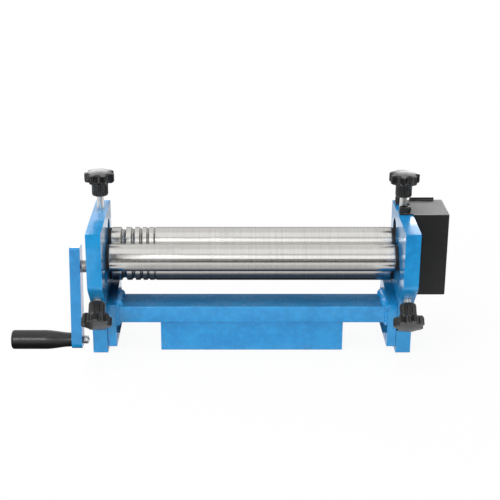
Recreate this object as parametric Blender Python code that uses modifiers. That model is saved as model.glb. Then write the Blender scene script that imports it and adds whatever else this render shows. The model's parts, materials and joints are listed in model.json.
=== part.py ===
"""Slip roll: three rollers between two side plates, turned by a crank and a pair of gears.

Metres, +Z up. X runs along the rollers, with the crank at -X and the gears at +X. The bending
roller is at the front (-Y). The origin is the middle of the vise bar's bottom face.
"""

import math

import bmesh
import bpy
from mathutils import Vector

# Driving dimensions of the frame
plate_thickness = 0.0165
facet_to_bend_axis = 0.0518
facet_angle = 45
facet_corner_radius = 0.008
leg_set_back = 0.034
end_plate_thickness = 0.010
end_plate_front_to_leg = 0.002
end_plate_rear_to_back = 0.005
end_plate_bottom = 0.0069
end_plate_below_roller = 0.0035
end_plate_rise = math.radians(7)
beam_depth = 0.040
beam_height = 0.020
beam_wall = 0.0025
beam_corner_radius = 0.002
beam_set_back = 0.0035
beam_bottom = 0.0352
beam_to_roller = 0.01375
vise_bar_length = 0.207
vise_bar_thickness = 0.012
vise_bar_set_back = 0.0035
weld_radius = 0.0019
frame_screw_radius = 0.003
frame_screw_head_radius = 0.005
frame_screw_head_height = 0.006
frame_screw_end_cover = 0.0008

# Driving dimensions of the rollers
roller_length = 0.320
roller_diameter = 0.0314
roller_nip = 0.0004
pinch_axis_to_front = 0.0895
pinch_axis_to_back = 0.0295
bend_roller_clearance = 0.0022
bend_roller_drop = math.radians(14.6)
journal_diameter = 0.014
largest_wire = 0.0058
wire_width_shares = (1.0, 0.71, 0.6, 0.48, 0.31)
wire_place_shares = (0.0431, 0.0769, 0.1053, 0.1297, 0.1538)
roller_edge_chamfer = 0.0006
washer_thickness = 0.0029
washer_set_in = 0.0007

# Driving dimensions of the bearings
block_set_in = 0.003
block_flat_length = 0.0046
bush_diameter = 0.020
slot_roof = 0.0125
upper_slot_room = 0.01155
bend_travel_down = 0.018
bend_travel_up = 0.002

# Driving dimensions of the adjusting screws and their knobs
screw_diameter = 0.008
screw_in_block = 0.0050
screw_in_knob = 0.012
knob_diameter = 0.0343
knob_hub_diameter = 0.0186
knob_hub_length = 0.0157
knob_rim_height = 0.0102
knob_dome_height = 0.0032
knob_dome_turn_shares = (0.32, 0.6)
knob_lobes = 7
knob_valley_radius = 0.0052
knob_valley_depth = 0.0044
top_knob_gap_left = 0.0160
top_knob_gap_right = 0.0145
front_knob_gap_left = 0.0040
front_knob_gap_right = 0.0062
top_knob_turn_left = math.radians(21)
top_knob_turn_right = math.radians(-10)
front_knob_turn_left = math.radians(25.7)
front_knob_turn_right = math.radians(12)

# Driving dimensions of the gears and their cover
gear_teeth = 16
gear_width = 0.014
gear_to_plate = 0.002
gear_backlash = 0.0007
tooth_rise_share = 0.85
tooth_drop_share = 1.2
pressure_angle = math.radians(20)
key_width = 0.0044
key_height = 0.0044
key_in_shaft = 0.0024
gear_washer_diameter = 0.018
gear_washer_thickness = 0.0016
gear_screw_radius = 0.003
gear_screw_length = 0.014
gear_screw_head_radius = 0.005
gear_screw_head_height = 0.0055
cover_beside_gears = 0.008
cover_below_gears = 0.0054
cover_past_gear_screw = 0.0153
cover_sheet = 0.0015
cover_lip_start = 0.0023
cover_lip_length = 0.0280
cover_lip_height = 0.0026
ear_width = 0.013
ear_set_in = 0.0085
cover_screw_radius = 0.004
cover_screw_length = 0.014
cover_screw_head_radius = 0.0065
cover_screw_head_height = 0.0062

# Driving dimensions of the crank
crank_gap = 0.0168
crank_thickness = 0.0122
crank_width = 0.025
crank_throw = 0.088
crank_top = 0.0245
crank_foot = 0.0085
crank_lean = math.radians(8)
crank_top_radius = 0.003
crank_foot_radius = 0.007
set_screw_radius = 0.0025
set_screw_depth = 0.0008
grip_length = 0.0705
grip_diameter = 0.0223
grip_neck_diameter = 0.0165
grip_end_radius = 0.003
grip_belly_share = 0.55
spindle_radius = 0.004
spindle_head_radius = 0.0055
spindle_head_length = 0.003
spindle_from_end = 0.008
spindle_thread_radius = 0.0025
spindle_thread_beyond_nut = 0.0009
nut_across_flats = 0.0084
nut_thickness = 0.0060

# Clearances and small allowances that many pieces share
gap = 0.0003
overrun = 0.002
chamfer = 0.0005
socket_share = 0.52
socket_depth_share = 0.55
merge_distance = 0.00001

# Places along the rollers, worked out from the sizes above
inner_face = roller_length / 2 + washer_thickness + 2 * gap
outer_face = inner_face + plate_thickness
plate_middle = inner_face + plate_thickness / 2
gear_start = outer_face + gear_to_plate
shaft_end = gear_start + gear_width - gap
crank_inner = outer_face + crank_gap
crank_outer = crank_inner + crank_thickness

# Places from front to back
beam_front = -(vise_bar_set_back + vise_bar_thickness / 2)
end_plate_front = beam_front - beam_set_back
leg_front = end_plate_front - end_plate_front_to_leg
front = leg_front - leg_set_back
pinch_y = front + pinch_axis_to_front
back = pinch_y + pinch_axis_to_back
end_plate_rear = back - end_plate_rear_to_back

# Heights, from the beam up through the lower roller to the top of the side plates
axis_spacing = roller_diameter + roller_nip
lower_axis_height = beam_bottom + beam_height + beam_to_roller + roller_diameter / 2
upper_axis_height = lower_axis_height + axis_spacing
block_width = roller_diameter - 2 * block_set_in
block_length = block_width + block_flat_length
plate_height = upper_axis_height + block_length / 2 + upper_slot_room + slot_roof

# The bending roller, and the sloping facet that its adjusting screws go in at
diagonal = Vector((0, 1, 1)).normalized()
bend_distance = roller_diameter + bend_roller_clearance
bend_y = pinch_y - bend_distance * math.cos(bend_roller_drop)
bend_height = upper_axis_height - bend_distance * math.sin(bend_roller_drop)
bend_centre = Vector((0, bend_y, bend_height))
facet_top = bend_y + bend_height - front - facet_to_bend_axis / diagonal.z
facet_bottom = facet_top - leg_set_back

# Fits and gear sizes
journal_radius = journal_diameter / 2
bore_radius = journal_radius + gap
slot_half_width = block_width / 2 + gap
screw_hole_radius = screw_diameter / 2 + gap
frame_screw_sink = frame_screw_head_height + 2 * gap
gear_module = axis_spacing / gear_teeth
gear_tip_radius = axis_spacing / 2 + tooth_rise_share * gear_module
cover_half_depth = gear_tip_radius + cover_beside_gears + cover_sheet

# Numbers of straight sides or steps that stand for a curve
roller_sides = 32
shaft_sides = 24
screw_sides = 16
bolt_sides = 12
hex_sides = 6
knob_sides = 28
arc_steps = 12
neck_steps = 6
corner_steps = 4
edge_steps = 2
crease_angle = math.radians(35)

for old in list(bpy.data.objects):
    bpy.data.objects.remove(old, do_unlink=True)

parts = bpy.data.collections.new("slip_roll")
cutters = bpy.data.collections.new("cutters")
for collection in (parts, cutters):
    bpy.context.scene.collection.children.link(collection)


def look(name, colour, roughness, metallic):
    """A plain Principled material, shared by the pieces that are made of it."""
    material = bpy.data.materials.new(name)
    material.use_nodes = True
    shader = material.node_tree.nodes["Principled BSDF"]
    shader.inputs["Base Color"].default_value = (*colour, 1)
    shader.inputs["Roughness"].default_value = roughness
    shader.inputs["Metallic"].default_value = metallic
    return material


blue_paint = look("blue_paint", (0.040, 0.320, 0.680), 0.35, 0.0)
ground_steel = look("ground_steel", (0.62, 0.61, 0.59), 0.25, 1.0)
dark_steel = look("dark_steel", (0.16, 0.15, 0.15), 0.40, 1.0)
black_oxide = look("black_oxide", (0.030, 0.028, 0.030), 0.45, 0.6)
bronze = look("bronze", (0.55, 0.36, 0.16), 0.35, 1.0)
black_plastic = look("black_plastic", (0.022, 0.022, 0.024), 0.42, 0.0)
black_powder = look("black_powder", (0.028, 0.028, 0.028), 0.55, 0.0)
zinc = look("zinc", (0.66, 0.68, 0.70), 0.28, 1.0)


def place(item, material=None, location=(0, 0, 0), turn=(0, 0, 0), home=parts):
    """Put an object in its collection, at its place, with its material."""
    home.objects.link(item)
    item.location = location
    item.rotation_euler = turn
    if material:
        item.data.materials.clear()
        item.data.materials.append(material)
    if home is cutters:
        item.hide_render = True
        item.display_type = "WIRE"
    return item


def round_off(item):
    """Smooth shading with the hard edges kept."""
    item.data.shade_smooth()
    item.data.set_sharp_from_angle(angle=crease_angle)
    return item


def turned(name, profile, sides, material=None, location=(0, 0, 0), turn=(0, 0, 0), home=parts, ring=False):
    """A turned piece about its own Z. The profile's (radius, height) points run from top to bottom."""
    mesh = bpy.data.meshes.new(name)
    count = len(profile)
    edges = [(i, i + 1) for i in range(count - 1)]
    if ring:
        edges.append((count - 1, 0))
    mesh.from_pydata([(radius, 0, height) for radius, height in profile], edges, [])
    item = bpy.data.objects.new(name, mesh)
    screw = item.modifiers.new("turn", "SCREW")
    screw.steps = screw.render_steps = sides
    screw.use_merge_vertices = True
    screw.merge_threshold = merge_distance
    return place(item, material, location, turn, home)


def settle(item):
    """Turn an object's modifiers into a plain mesh, so that it can be cut again."""
    bpy.context.view_layer.update()
    graph = bpy.context.evaluated_depsgraph_get()
    mesh = bpy.data.meshes.new_from_object(item.evaluated_get(graph))
    if item.type == "CURVE":
        fresh = bpy.data.objects.new(item.name, mesh)
        fresh.matrix_world = item.matrix_world.copy()
        homes = list(item.users_collection)
        name = item.name
        bpy.data.objects.remove(item, do_unlink=True)
        fresh.name = name
        for home in homes:
            home.objects.link(fresh)
        item = fresh
    else:
        item.modifiers.clear()
        item.data = mesh
    soup = bmesh.new()
    soup.from_mesh(item.data)
    bmesh.ops.remove_doubles(soup, verts=soup.verts, dist=merge_distance)
    bmesh.ops.recalc_face_normals(soup, faces=soup.faces)
    soup.to_mesh(item.data)
    soup.free()
    return item


def flat(name, outlines, thickness, material=None, location=(0, 0, 0), turn=(0, 0, 0), home=parts):
    """A plate about the XY plane, from its outer outline and the outlines of its holes."""
    curve = bpy.data.curves.new(name, "CURVE")
    curve.dimensions = "2D"
    curve.fill_mode = "BOTH"
    curve.extrude = thickness / 2
    for points in outlines:
        spline = curve.splines.new("POLY")
        spline.points.add(len(points) - 1)
        for point, (x, y) in zip(spline.points, points):
            point.co = (x, y, 0, 1)
        spline.use_cyclic_u = True
    return settle(place(bpy.data.objects.new(name, curve), material, location, turn, home))


def box(name, size, centre, material=None, turn=(0, 0, 0), home=parts):
    """A box with its size in the mesh and no scale on the object."""
    mesh = bpy.data.meshes.new(name)
    soup = bmesh.new()
    bmesh.ops.create_cube(soup, size=1)
    bmesh.ops.scale(soup, vec=size, verts=soup.verts)
    soup.to_mesh(mesh)
    soup.free()
    return place(bpy.data.objects.new(name, mesh), material, centre, turn, home)


def rod_cutter(name, radius, low, high, location, turn=(0, 0, 0), sides=screw_sides):
    """A round cutter along its own Z, from low to high."""
    profile = [(0, high), (radius, high), (radius, low), (0, low)]
    return turned(name, profile, sides, location=location, turn=turn, home=cutters)


def cut(item, cutter, operation="DIFFERENCE"):
    """One exact Boolean."""
    boolean = item.modifiers.new(cutter.name, "BOOLEAN")
    boolean.operation = operation
    boolean.object = cutter
    return item


def arc(centre, radius, start, end, steps):
    """Points on an arc, in degrees, both ends included."""
    points = []
    for i in range(steps + 1):
        angle = math.radians(start + (end - start) * i / steps)
        points.append((centre[0] + radius * math.cos(angle), centre[1] + radius * math.sin(angle)))
    return points


def circle(centre, radius, sides):
    """A closed round outline."""
    return arc(centre, radius, 0, 360, sides)[:-1]


def slot(low, high, half_width):
    """A slot with round ends that reach from the point low to the point high."""
    low, high = Vector(low), Vector(high)
    along = (high - low).normalized()
    heading = math.degrees(math.atan2(along.y, along.x))
    top = arc(high - along * half_width, half_width, heading - 90, heading + 90, arc_steps)
    bottom = arc(low + along * half_width, half_width, heading + 90, heading + 270, arc_steps)
    return top + bottom


def rounded_box(low, high, radius, steps=edge_steps):
    """A rectangle with round corners, counter-clockwise."""
    corners = (
        ((high[0] - radius, high[1] - radius), 0),
        ((low[0] + radius, high[1] - radius), 90),
        ((low[0] + radius, low[1] + radius), 180),
        ((high[0] - radius, low[1] + radius), 270),
    )
    points = []
    for centre, start in corners:
        points += arc(centre, radius, start, start + 90, steps)
    return points


# Turns that lay a piece out: an outline drawn in world Y and Z, a turned piece along X or -X,
# and a turned piece along the adjusting screws at the front, which point down and forward.
side_on = (math.pi / 2, 0, math.pi / 2)
along_x = (0, math.pi / 2, 0)
against_x = (0, -math.pi / 2, 0)
down_forward = (math.radians(135), 0, 0)

side_names = {-1: "left", 1: "right"}


def frame_screw_places():
    """Where each side plate is screwed to its end plate, in world Y and Z."""
    low_y = end_plate_front + 2 * frame_screw_head_radius
    high_y = end_plate_rear - 2 * frame_screw_head_radius
    low_z = end_plate_bottom + 2 * frame_screw_head_radius
    return ((low_y, low_z), (high_y, low_z + 2 * frame_screw_head_radius))


def bend_slot_ends():
    """The low and high ends of the bending roller's slot, in world Y and Z."""
    low = bend_centre - diagonal * (block_length / 2 + bend_travel_down + gap)
    high = bend_centre + diagonal * (block_length / 2 + bend_travel_up + gap)
    return (low.y, low.z), (high.y, high.z)


def side_plate(side):
    """A thick plate with its lower front corner cut away, slotted for two sliding blocks."""
    bend = facet_corner_radius * math.tan(math.radians(facet_angle) / 2)
    corner = (front + facet_corner_radius, facet_top + bend)
    outline = [(leg_front, 0), (back, 0), (back, plate_height), (front, plate_height)]
    outline += arc(corner, facet_corner_radius, 180, 180 + facet_angle, corner_steps)
    outline.append((leg_front, facet_bottom))
    upper_low = (pinch_y, upper_axis_height - block_length / 2 - gap)
    upper_high = (pinch_y, plate_height - slot_roof)
    holes = [
        slot(upper_low, upper_high, slot_half_width),
        slot(*bend_slot_ends(), slot_half_width),
        circle((pinch_y, lower_axis_height), bush_diameter / 2 + gap, shaft_sides),
    ]
    for y, z in frame_screw_places():
        holes.append(circle((y, z), frame_screw_radius + gap, screw_sides))
    name = f"side_plate_{side_names[side]}"
    plate = flat(name, [outline] + holes, plate_thickness, blue_paint, (side * plate_middle, 0, 0), side_on)
    outward = along_x if side > 0 else against_x
    for end, (y, z) in zip(("front", "rear"), frame_screw_places()):
        mouth = (side * outer_face, y, z)
        head_room = frame_screw_head_radius + gap
        cut(plate, rod_cutter(f"{name}_{end}_sink", head_room, -frame_screw_sink, overrun, mouth, outward))
    top = (side * plate_middle, pinch_y, plate_height)
    depth = slot_roof + overrun
    cut(plate, rod_cutter(f"{name}_top_hole", screw_hole_radius, -depth, overrun, top))
    entry = bend_centre - diagonal * facet_to_bend_axis + Vector((side * plate_middle, 0, 0))
    web = facet_to_bend_axis - (block_length / 2 + bend_travel_down)
    depth = web + overrun
    cut(plate, rod_cutter(f"{name}_front_hole", screw_hole_radius, -depth, overrun, entry, down_forward))
    if side > 0:
        hole_radius = cover_screw_radius + gap
        for end, y in cover_screw_places().items():
            hole = (plate_middle, y, plate_height)
            cut(plate, rod_cutter(f"{name}_{end}_hole", hole_radius, -cover_screw_length - gap, overrun, hole))
    return plate


def cover_screw_places():
    """Y of the two screws that hold the gear cover down, either side of the adjusting screw."""
    reach = cover_half_depth - ear_set_in
    return {"front": pinch_y - reach, "rear": pinch_y + reach}


def end_plate(side):
    """The plate that carries the beam's end, with a top edge that climbs to the back."""
    top_under_axis = lower_axis_height - roller_diameter / 2 - end_plate_below_roller
    slope = math.tan(end_plate_rise)
    outline = [
        (end_plate_front, end_plate_bottom),
        (end_plate_rear, end_plate_bottom),
        (end_plate_rear, top_under_axis + (end_plate_rear - pinch_y) * slope),
        (end_plate_front, top_under_axis + (end_plate_front - pinch_y) * slope),
    ]
    holes = [circle(place_yz, frame_screw_radius + gap, screw_sides) for place_yz in frame_screw_places()]
    middle = inner_face - gap - end_plate_thickness / 2
    name = f"end_plate_{side_names[side]}"
    return flat(name, [outline] + holes, end_plate_thickness, blue_paint, (side * middle, 0, 0), side_on)


def beam_box(offset=0.0):
    """Low and high corners of the beam's section, in world Y and Z, grown by an offset."""
    low = (beam_front - offset, beam_bottom - offset)
    high = (beam_front + beam_depth + offset, beam_bottom + beam_height + offset)
    return low, high


def cross_beam():
    """Rectangular tube between the end plates, open at both ends."""
    length = 2 * (inner_face - end_plate_thickness - 2 * gap)
    outer = rounded_box(*beam_box(), beam_corner_radius)
    inner = rounded_box(*beam_box(-beam_wall), beam_corner_radius / 2, 1)
    return flat("cross_beam", [outer, inner], length, blue_paint, (0, 0, 0), side_on)


def vise_bar():
    """The flat bar under the beam that a vise grips."""
    height = beam_bottom - gap
    size = (vise_bar_length, vise_bar_thickness, height)
    return box("vise_bar", size, (0, 0, height / 2), blue_paint)


def bead(name, points, cyclic):
    """A weld bead along a path."""
    curve = bpy.data.curves.new(name, "CURVE")
    curve.dimensions = "3D"
    curve.bevel_depth = weld_radius
    curve.bevel_resolution = 1
    curve.use_fill_caps = not cyclic
    spline = curve.splines.new("POLY")
    spline.points.add(len(points) - 1)
    for point, co in zip(spline.points, points):
        point.co = (*co, 1)
    spline.use_cyclic_u = cyclic
    return settle(place(bpy.data.objects.new(name, curve), blue_paint))


def welds():
    """Beads round both ends of the beam, and one behind the vise bar."""
    reach = gap + weld_radius
    for side, word in side_names.items():
        x = side * (inner_face - gap - end_plate_thickness - reach)
        path = rounded_box(*beam_box(reach), reach + beam_corner_radius)
        bead(f"weld_{word}", [(x, y, z) for y, z in path], True)
    y = vise_bar_thickness / 2 + reach
    z = beam_bottom - reach
    half = vise_bar_length / 2 - 2 * weld_radius
    bead("weld_bar", [(-half, y, z), (half, y, z)], False)


def cap_screw(name, radius, length, head_radius, head_height, location, turn, material):
    """A socket-head screw. Its head's seat is at its origin, and its shank runs down."""
    profile = [
        (0, head_height),
        (head_radius - chamfer, head_height),
        (head_radius, head_height - chamfer),
        (head_radius, 0),
        (radius, 0),
        (radius, chamfer - length),
        (radius - chamfer, -length),
        (0, -length),
    ]
    screw = turned(name, profile, bolt_sides, material, location, turn)
    depth = head_height * socket_depth_share
    socket = rod_cutter(
        f"{name}_socket", head_radius * socket_share, head_height - depth, head_height + overrun,
        location, turn, hex_sides,
    )
    return round_off(settle(cut(screw, socket)))


def frame_screws():
    """Screws through each side plate into its end plate, with their heads sunk in the outer face."""
    seat_x = outer_face - frame_screw_sink + gap
    length = seat_x - inner_face + end_plate_thickness + gap - frame_screw_end_cover
    for side, word in side_names.items():
        turn = along_x if side > 0 else against_x
        for end, (y, z) in zip(("front", "rear"), frame_screw_places()):
            seat = (side * seat_x, y, z)
            cap_screw(
                f"frame_screw_{word}_{end}", frame_screw_radius, length, frame_screw_head_radius,
                frame_screw_head_height, seat, turn, black_oxide,
            )


def roller_profile(radius, left_end, right_end, groove_widths):
    """Radius and X of a roller and its journals, from right to left, with round wire grooves."""
    half = roller_length / 2
    points = [
        (0, left_end),
        (journal_radius - chamfer, left_end),
        (journal_radius, left_end + chamfer),
        (journal_radius, -half),
        (radius - roller_edge_chamfer, -half),
        (radius, -half + roller_edge_chamfer),
    ]
    for width, share in zip(groove_widths, wire_place_shares):
        centre = -half + share * roller_length
        for depth, offset in arc((0, 0), width / 2, 90, -90, corner_steps):
            points.append((radius - depth, centre - offset))
    points += [
        (radius, half - roller_edge_chamfer),
        (radius - roller_edge_chamfer, half),
        (journal_radius, half),
        (journal_radius, right_end - chamfer),
        (journal_radius - chamfer, right_end),
        (0, right_end),
    ]
    return points[::-1]


def geared_roller(name, left_end, height):
    """A grooved roller whose right journal carries a gear on a key, held by an end screw."""
    widths = [largest_wire * share for share in wire_width_shares]
    profile = roller_profile(roller_diameter / 2, left_end, shaft_end, widths)
    axis = (0, pinch_y, height)
    roller = turned(name, profile, roller_sides, ground_steel, axis, along_x)
    depth = gear_screw_length + gap
    hole = (shaft_end, pinch_y, height)
    cut(roller, rod_cutter(f"{name}_hole", gear_screw_radius + gap, -depth, overrun, hole, along_x))
    seat_length = gear_width + overrun
    size = (seat_length, key_width + 2 * gap, 2 * key_in_shaft)
    middle = (shaft_end - gear_width + seat_length / 2, pinch_y, height + journal_radius)
    cut(roller, box(f"{name}_keyseat", size, middle, home=cutters))
    return round_off(settle(roller))


def bending_roller():
    """The plain front roller, free to turn in its two blocks."""
    end = outer_face - 2 * chamfer
    profile = roller_profile(roller_diameter / 2, -end, end, ())
    roller = turned("bending_roller", profile, roller_sides, ground_steel, bend_centre, along_x)
    return round_off(roller)


def ring_profile(inner, outer, low, high):
    """A square-edged ring."""
    return [(inner, high), (outer, high), (outer, low), (inner, low)]


def roller_washers():
    """Black thrust washers that fill the gap between each roller's ends and the side plates."""
    half = washer_thickness / 2
    axes = {
        "upper": (pinch_y, upper_axis_height),
        "lower": (pinch_y, lower_axis_height),
        "bending": (bend_y, bend_height),
    }
    profile = ring_profile(bore_radius, roller_diameter / 2 - washer_set_in, -half, half)
    for word, (y, z) in axes.items():
        for side, end in side_names.items():
            centre = (side * (roller_length / 2 + gap + half), y, z)
            turned(f"{word}_washer_{end}", profile, shaft_sides, black_oxide, centre, along_x, ring=True)


def lower_bush(side):
    """The plain bush that the lower roller's journal turns in."""
    half = plate_thickness / 2
    profile = ring_profile(bore_radius, bush_diameter / 2, -half, half)
    centre = (side * plate_middle, pinch_y, lower_axis_height)
    turned(f"lower_bush_{side_names[side]}", profile, shaft_sides, bronze, centre, along_x, ring=True)


def sliding_block(name, side, centre, along, screw_turn):
    """A block with round ends and a bore for a journal, with a pocket for the adjusting screw."""
    reach = along * (block_length / 2)
    outline = slot((-reach.y, -reach.z), (reach.y, reach.z), block_width / 2)
    bore = circle((0, 0), bore_radius, shaft_sides)
    middle = Vector((side * plate_middle, centre.y, centre.z))
    block = flat(name, [outline, bore], plate_thickness, dark_steel, middle, side_on)
    screw_side = along if screw_turn == (0, 0, 0) else -along
    mouth = middle + screw_side * (block_length / 2)
    depth = screw_in_block + gap
    cutter = rod_cutter(f"{name}_pocket", screw_hole_radius, -depth, overrun, mouth, screw_turn)
    return settle(cut(block, cutter))


def knob(name, location, turn, spin):
    """A star knob: a turned hub, rim and low dome, with finger valleys cut round the rim."""
    radius = knob_diameter / 2
    hub = knob_hub_diameter / 2
    rim_low = knob_hub_length
    rim_high = rim_low + knob_rim_height
    top = rim_high + knob_dome_height
    quarter = math.pi / 2
    dome = [
        (radius * math.sin(quarter * share), rim_high + knob_dome_height * math.cos(quarter * share))
        for share in knob_dome_turn_shares
    ]
    profile = [
        (0, top),
        *dome,
        (radius, rim_high),
        (radius, rim_low + 2 * chamfer),
        (radius - 2 * chamfer, rim_low),
        (hub, rim_low),
        (hub, chamfer),
        (hub - chamfer, 0),
        (0, 0),
    ]
    item = turned(name, profile, knob_sides, black_plastic, location, turn)
    item.rotation_euler.rotate_axis("Z", spin)
    turn = tuple(item.rotation_euler)
    valley_distance = radius - knob_valley_depth + knob_valley_radius
    low = rim_low - overrun
    high = top + overrun
    basis = item.rotation_euler.to_matrix()
    for i in range(knob_lobes):
        angle = 2 * math.pi * (i + 1 / 2) / knob_lobes
        offset = Vector((math.sin(angle), -math.cos(angle), 0)) * valley_distance
        spot = Vector(location) + basis @ offset
        cut(item, rod_cutter(f"{name}_valley_{i}", knob_valley_radius, low, high, spot, turn))
    depth = screw_in_knob + gap
    cut(item, rod_cutter(f"{name}_bore", screw_hole_radius, -overrun, depth, location, turn))
    return round_off(settle(item))


def adjusting_screw(name, length, location, turn):
    """A plain screw whose top is inside its knob. Its origin is at the knob's hub end."""
    radius = screw_diameter / 2
    low = screw_in_knob - length
    profile = [
        (0, screw_in_knob),
        (radius - chamfer, screw_in_knob),
        (radius, screw_in_knob - chamfer),
        (radius, low + chamfer),
        (radius - chamfer, low),
        (0, low),
    ]
    return round_off(turned(name, profile, screw_sides, zinc, location, turn))


def adjusters():
    """The four knobs with their screws: two above the upper roller, two at the front."""
    top_gaps = {-1: top_knob_gap_left, 1: top_knob_gap_right}
    top_turns = {-1: top_knob_turn_left, 1: top_knob_turn_right}
    front_gaps = {-1: front_knob_gap_left, 1: front_knob_gap_right}
    front_turns = {-1: front_knob_turn_left, 1: front_knob_turn_right}
    for side, word in side_names.items():
        hub_end = Vector((side * plate_middle, pinch_y, plate_height + top_gaps[side]))
        block_top = upper_axis_height + block_length / 2
        length = screw_in_knob + (hub_end.z - block_top) + screw_in_block
        adjusting_screw(f"top_screw_{word}", length, hub_end, (0, 0, 0))
        knob(f"top_knob_{word}", hub_end, (0, 0, 0), top_turns[side])
        from_axis = facet_to_bend_axis + front_gaps[side]
        hub_end = bend_centre - diagonal * from_axis + Vector((side * plate_middle, 0, 0))
        length = screw_in_knob + (from_axis - block_length / 2) + screw_in_block
        adjusting_screw(f"front_screw_{word}", length, hub_end, down_forward)
        knob(f"front_knob_{word}", hub_end, down_forward, front_turns[side])


def gear_outline(phase):
    """Teeth about the origin. A tooth points along the phase angle. The sides are thinned for backlash."""
    pitch_radius = axis_spacing / 2
    root = pitch_radius - tooth_drop_share * gear_module
    half_tooth = math.pi * gear_module / 4 - gear_backlash / 2
    slope = math.tan(pressure_angle)
    halves = (
        (root, half_tooth + (pitch_radius - root) * slope),
        (pitch_radius, half_tooth),
        (gear_tip_radius, half_tooth - (gear_tip_radius - pitch_radius) * slope),
    )
    points = []
    for i in range(gear_teeth):
        middle = phase + 2 * math.pi * i / gear_teeth
        flank = [(radius, -half / radius) for radius, half in halves]
        flank += [(radius, half / radius) for radius, half in reversed(halves)]
        for radius, offset in flank:
            points.append((radius * math.cos(middle + offset), radius * math.sin(middle + offset)))
    return points


def keyed_bore():
    """A round bore with a keyway at its top."""
    half = key_width / 2 + gap
    roof = journal_radius - key_in_shaft + key_height + gap
    start = math.degrees(math.acos(half / bore_radius))
    points = arc((0, 0), bore_radius, 180 - start, 360 + start, shaft_sides)
    return points + [(half, roof), (-half, roof)]


def gear_set(word, height, phase):
    """A gear on its key, with the washer and screw that hold it on the journal."""
    centre = (gear_start + gear_width / 2, pinch_y, height)
    flat(f"{word}_gear", [gear_outline(phase), keyed_bore()], gear_width, dark_steel, centre, side_on)
    length = gear_width - 4 * gap
    key_z = height + journal_radius - key_in_shaft + gap + (key_height - gap) / 2
    box(f"{word}_key", (length, key_width, key_height - gap), (centre[0], pinch_y, key_z), dark_steel)
    low = gear_start + gear_width + gap
    profile = ring_profile(gear_screw_radius + gap, gear_washer_diameter / 2, 0, gear_washer_thickness)
    seat = (low, pinch_y, height)
    turned(f"{word}_gear_washer", profile, screw_sides, zinc, seat, along_x, ring=True)
    seat = (low + gear_washer_thickness + gap, pinch_y, height)
    cap_screw(
        f"{word}_gear_screw", gear_screw_radius, gear_screw_length, gear_screw_head_radius,
        gear_screw_head_height, seat, along_x, black_oxide,
    )


def gear_cover():
    """A folded sheet box over the gears, open to the plate, with two ears over the plate's top edge."""
    screw_end = gear_start + gear_width + gear_washer_thickness + gear_screw_head_height + 2 * gap
    top = plate_height + gap + cover_sheet
    bottom = lower_axis_height - gear_tip_radius - cover_below_gears - cover_sheet
    low = Vector((outer_face + gap, pinch_y - cover_half_depth, bottom))
    high = Vector((screw_end + cover_past_gear_screw + cover_sheet, pinch_y + cover_half_depth, top))
    size = high - low
    centre = (low + high) / 2
    cover = box("gear_cover", size, centre, black_powder)
    hollow_size = size - Vector((cover_sheet, 2 * cover_sheet, 2 * cover_sheet)) + Vector((overrun, 0, 0))
    hollow_centre = centre - Vector(((cover_sheet + overrun) / 2, 0, 0))
    cut(cover, box("cover_hollow", hollow_size, hollow_centre, home=cutters))
    lip_size = Vector((cover_lip_length, cover_sheet, cover_lip_height + cover_sheet))
    lip_centre = (
        low.x + cover_lip_start + cover_lip_length / 2,
        high.y - cover_sheet / 2,
        top + (cover_lip_height - cover_sheet) / 2,
    )
    cut(cover, box("cover_lip", lip_size, lip_centre, home=cutters), "UNION")
    inner_end = plate_middle - ear_width / 2
    ear_length = low.x + overrun - inner_end
    for end, y in cover_screw_places().items():
        ear_centre = (inner_end + ear_length / 2, y, top - cover_sheet / 2)
        ear_size = (ear_length, ear_width, cover_sheet)
        cut(cover, box(f"cover_ear_{end}", ear_size, ear_centre, home=cutters), "UNION")
        hole = (plate_middle, y, top)
        radius = cover_screw_radius + gap
        depth = cover_sheet + overrun
        cut(cover, rod_cutter(f"cover_hole_{end}", radius, -depth, overrun, hole))
    settle(cover)
    for end, y in cover_screw_places().items():
        length = cover_screw_length + cover_sheet + gap
        cap_screw(
            f"cover_screw_{end}", cover_screw_radius, length, cover_screw_head_radius,
            cover_screw_head_height, (plate_middle, y, top + gap), (0, 0, 0), black_oxide,
        )
    return cover


def crank_point(along, across):
    """World Y and Z offset from the crank's axis, along the arm to its foot and across it to the back."""
    y = -along * math.sin(crank_lean) + across * math.cos(crank_lean)
    z = -along * math.cos(crank_lean) - across * math.sin(crank_lean)
    return y, z


def crank_arm():
    """The flat arm on the lower roller's left journal, with a set screw in its rear edge."""
    half = crank_width / 2
    foot = crank_throw + crank_foot
    corners = (
        (foot - crank_foot_radius, half - crank_foot_radius, crank_foot_radius, 0),
        (crank_top_radius - crank_top, half - crank_top_radius, crank_top_radius, 90),
        (crank_top_radius - crank_top, crank_top_radius - half, crank_top_radius, 180),
        (foot - crank_foot_radius, crank_foot_radius - half, crank_foot_radius, 270),
    )
    outline = []
    for along, across, radius, start in corners:
        points = arc((along, across), radius, start, start + 90, corner_steps)
        outline += [crank_point(*point) for point in points]
    holes = [
        circle((0, 0), bore_radius, shaft_sides),
        circle(crank_point(crank_throw, 0), spindle_thread_radius + gap, screw_sides),
    ]
    centre = (-(crank_inner + crank_outer) / 2, pinch_y, lower_axis_height)
    arm = flat("crank_arm", [outline] + holes, crank_thickness, blue_paint, centre, side_on)
    rear_turn = (-math.pi / 2 - crank_lean, 0, 0)
    hole_radius = set_screw_radius + gap
    cut(arm, rod_cutter("set_screw_hole", hole_radius, journal_radius, half + overrun, centre, rear_turn))
    low = bore_radius
    high = half - set_screw_depth
    profile = [(0, high), (set_screw_radius, high), (set_screw_radius, low), (0, low)]
    screw = turned("crank_set_screw", profile, bolt_sides, black_oxide, centre, rear_turn)
    socket_low = high - set_screw_radius
    socket = rod_cutter(
        "set_screw_socket", set_screw_radius * socket_share, socket_low, high + overrun,
        centre, rear_turn, hex_sides,
    )
    settle(cut(screw, socket))
    return settle(arm)


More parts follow.
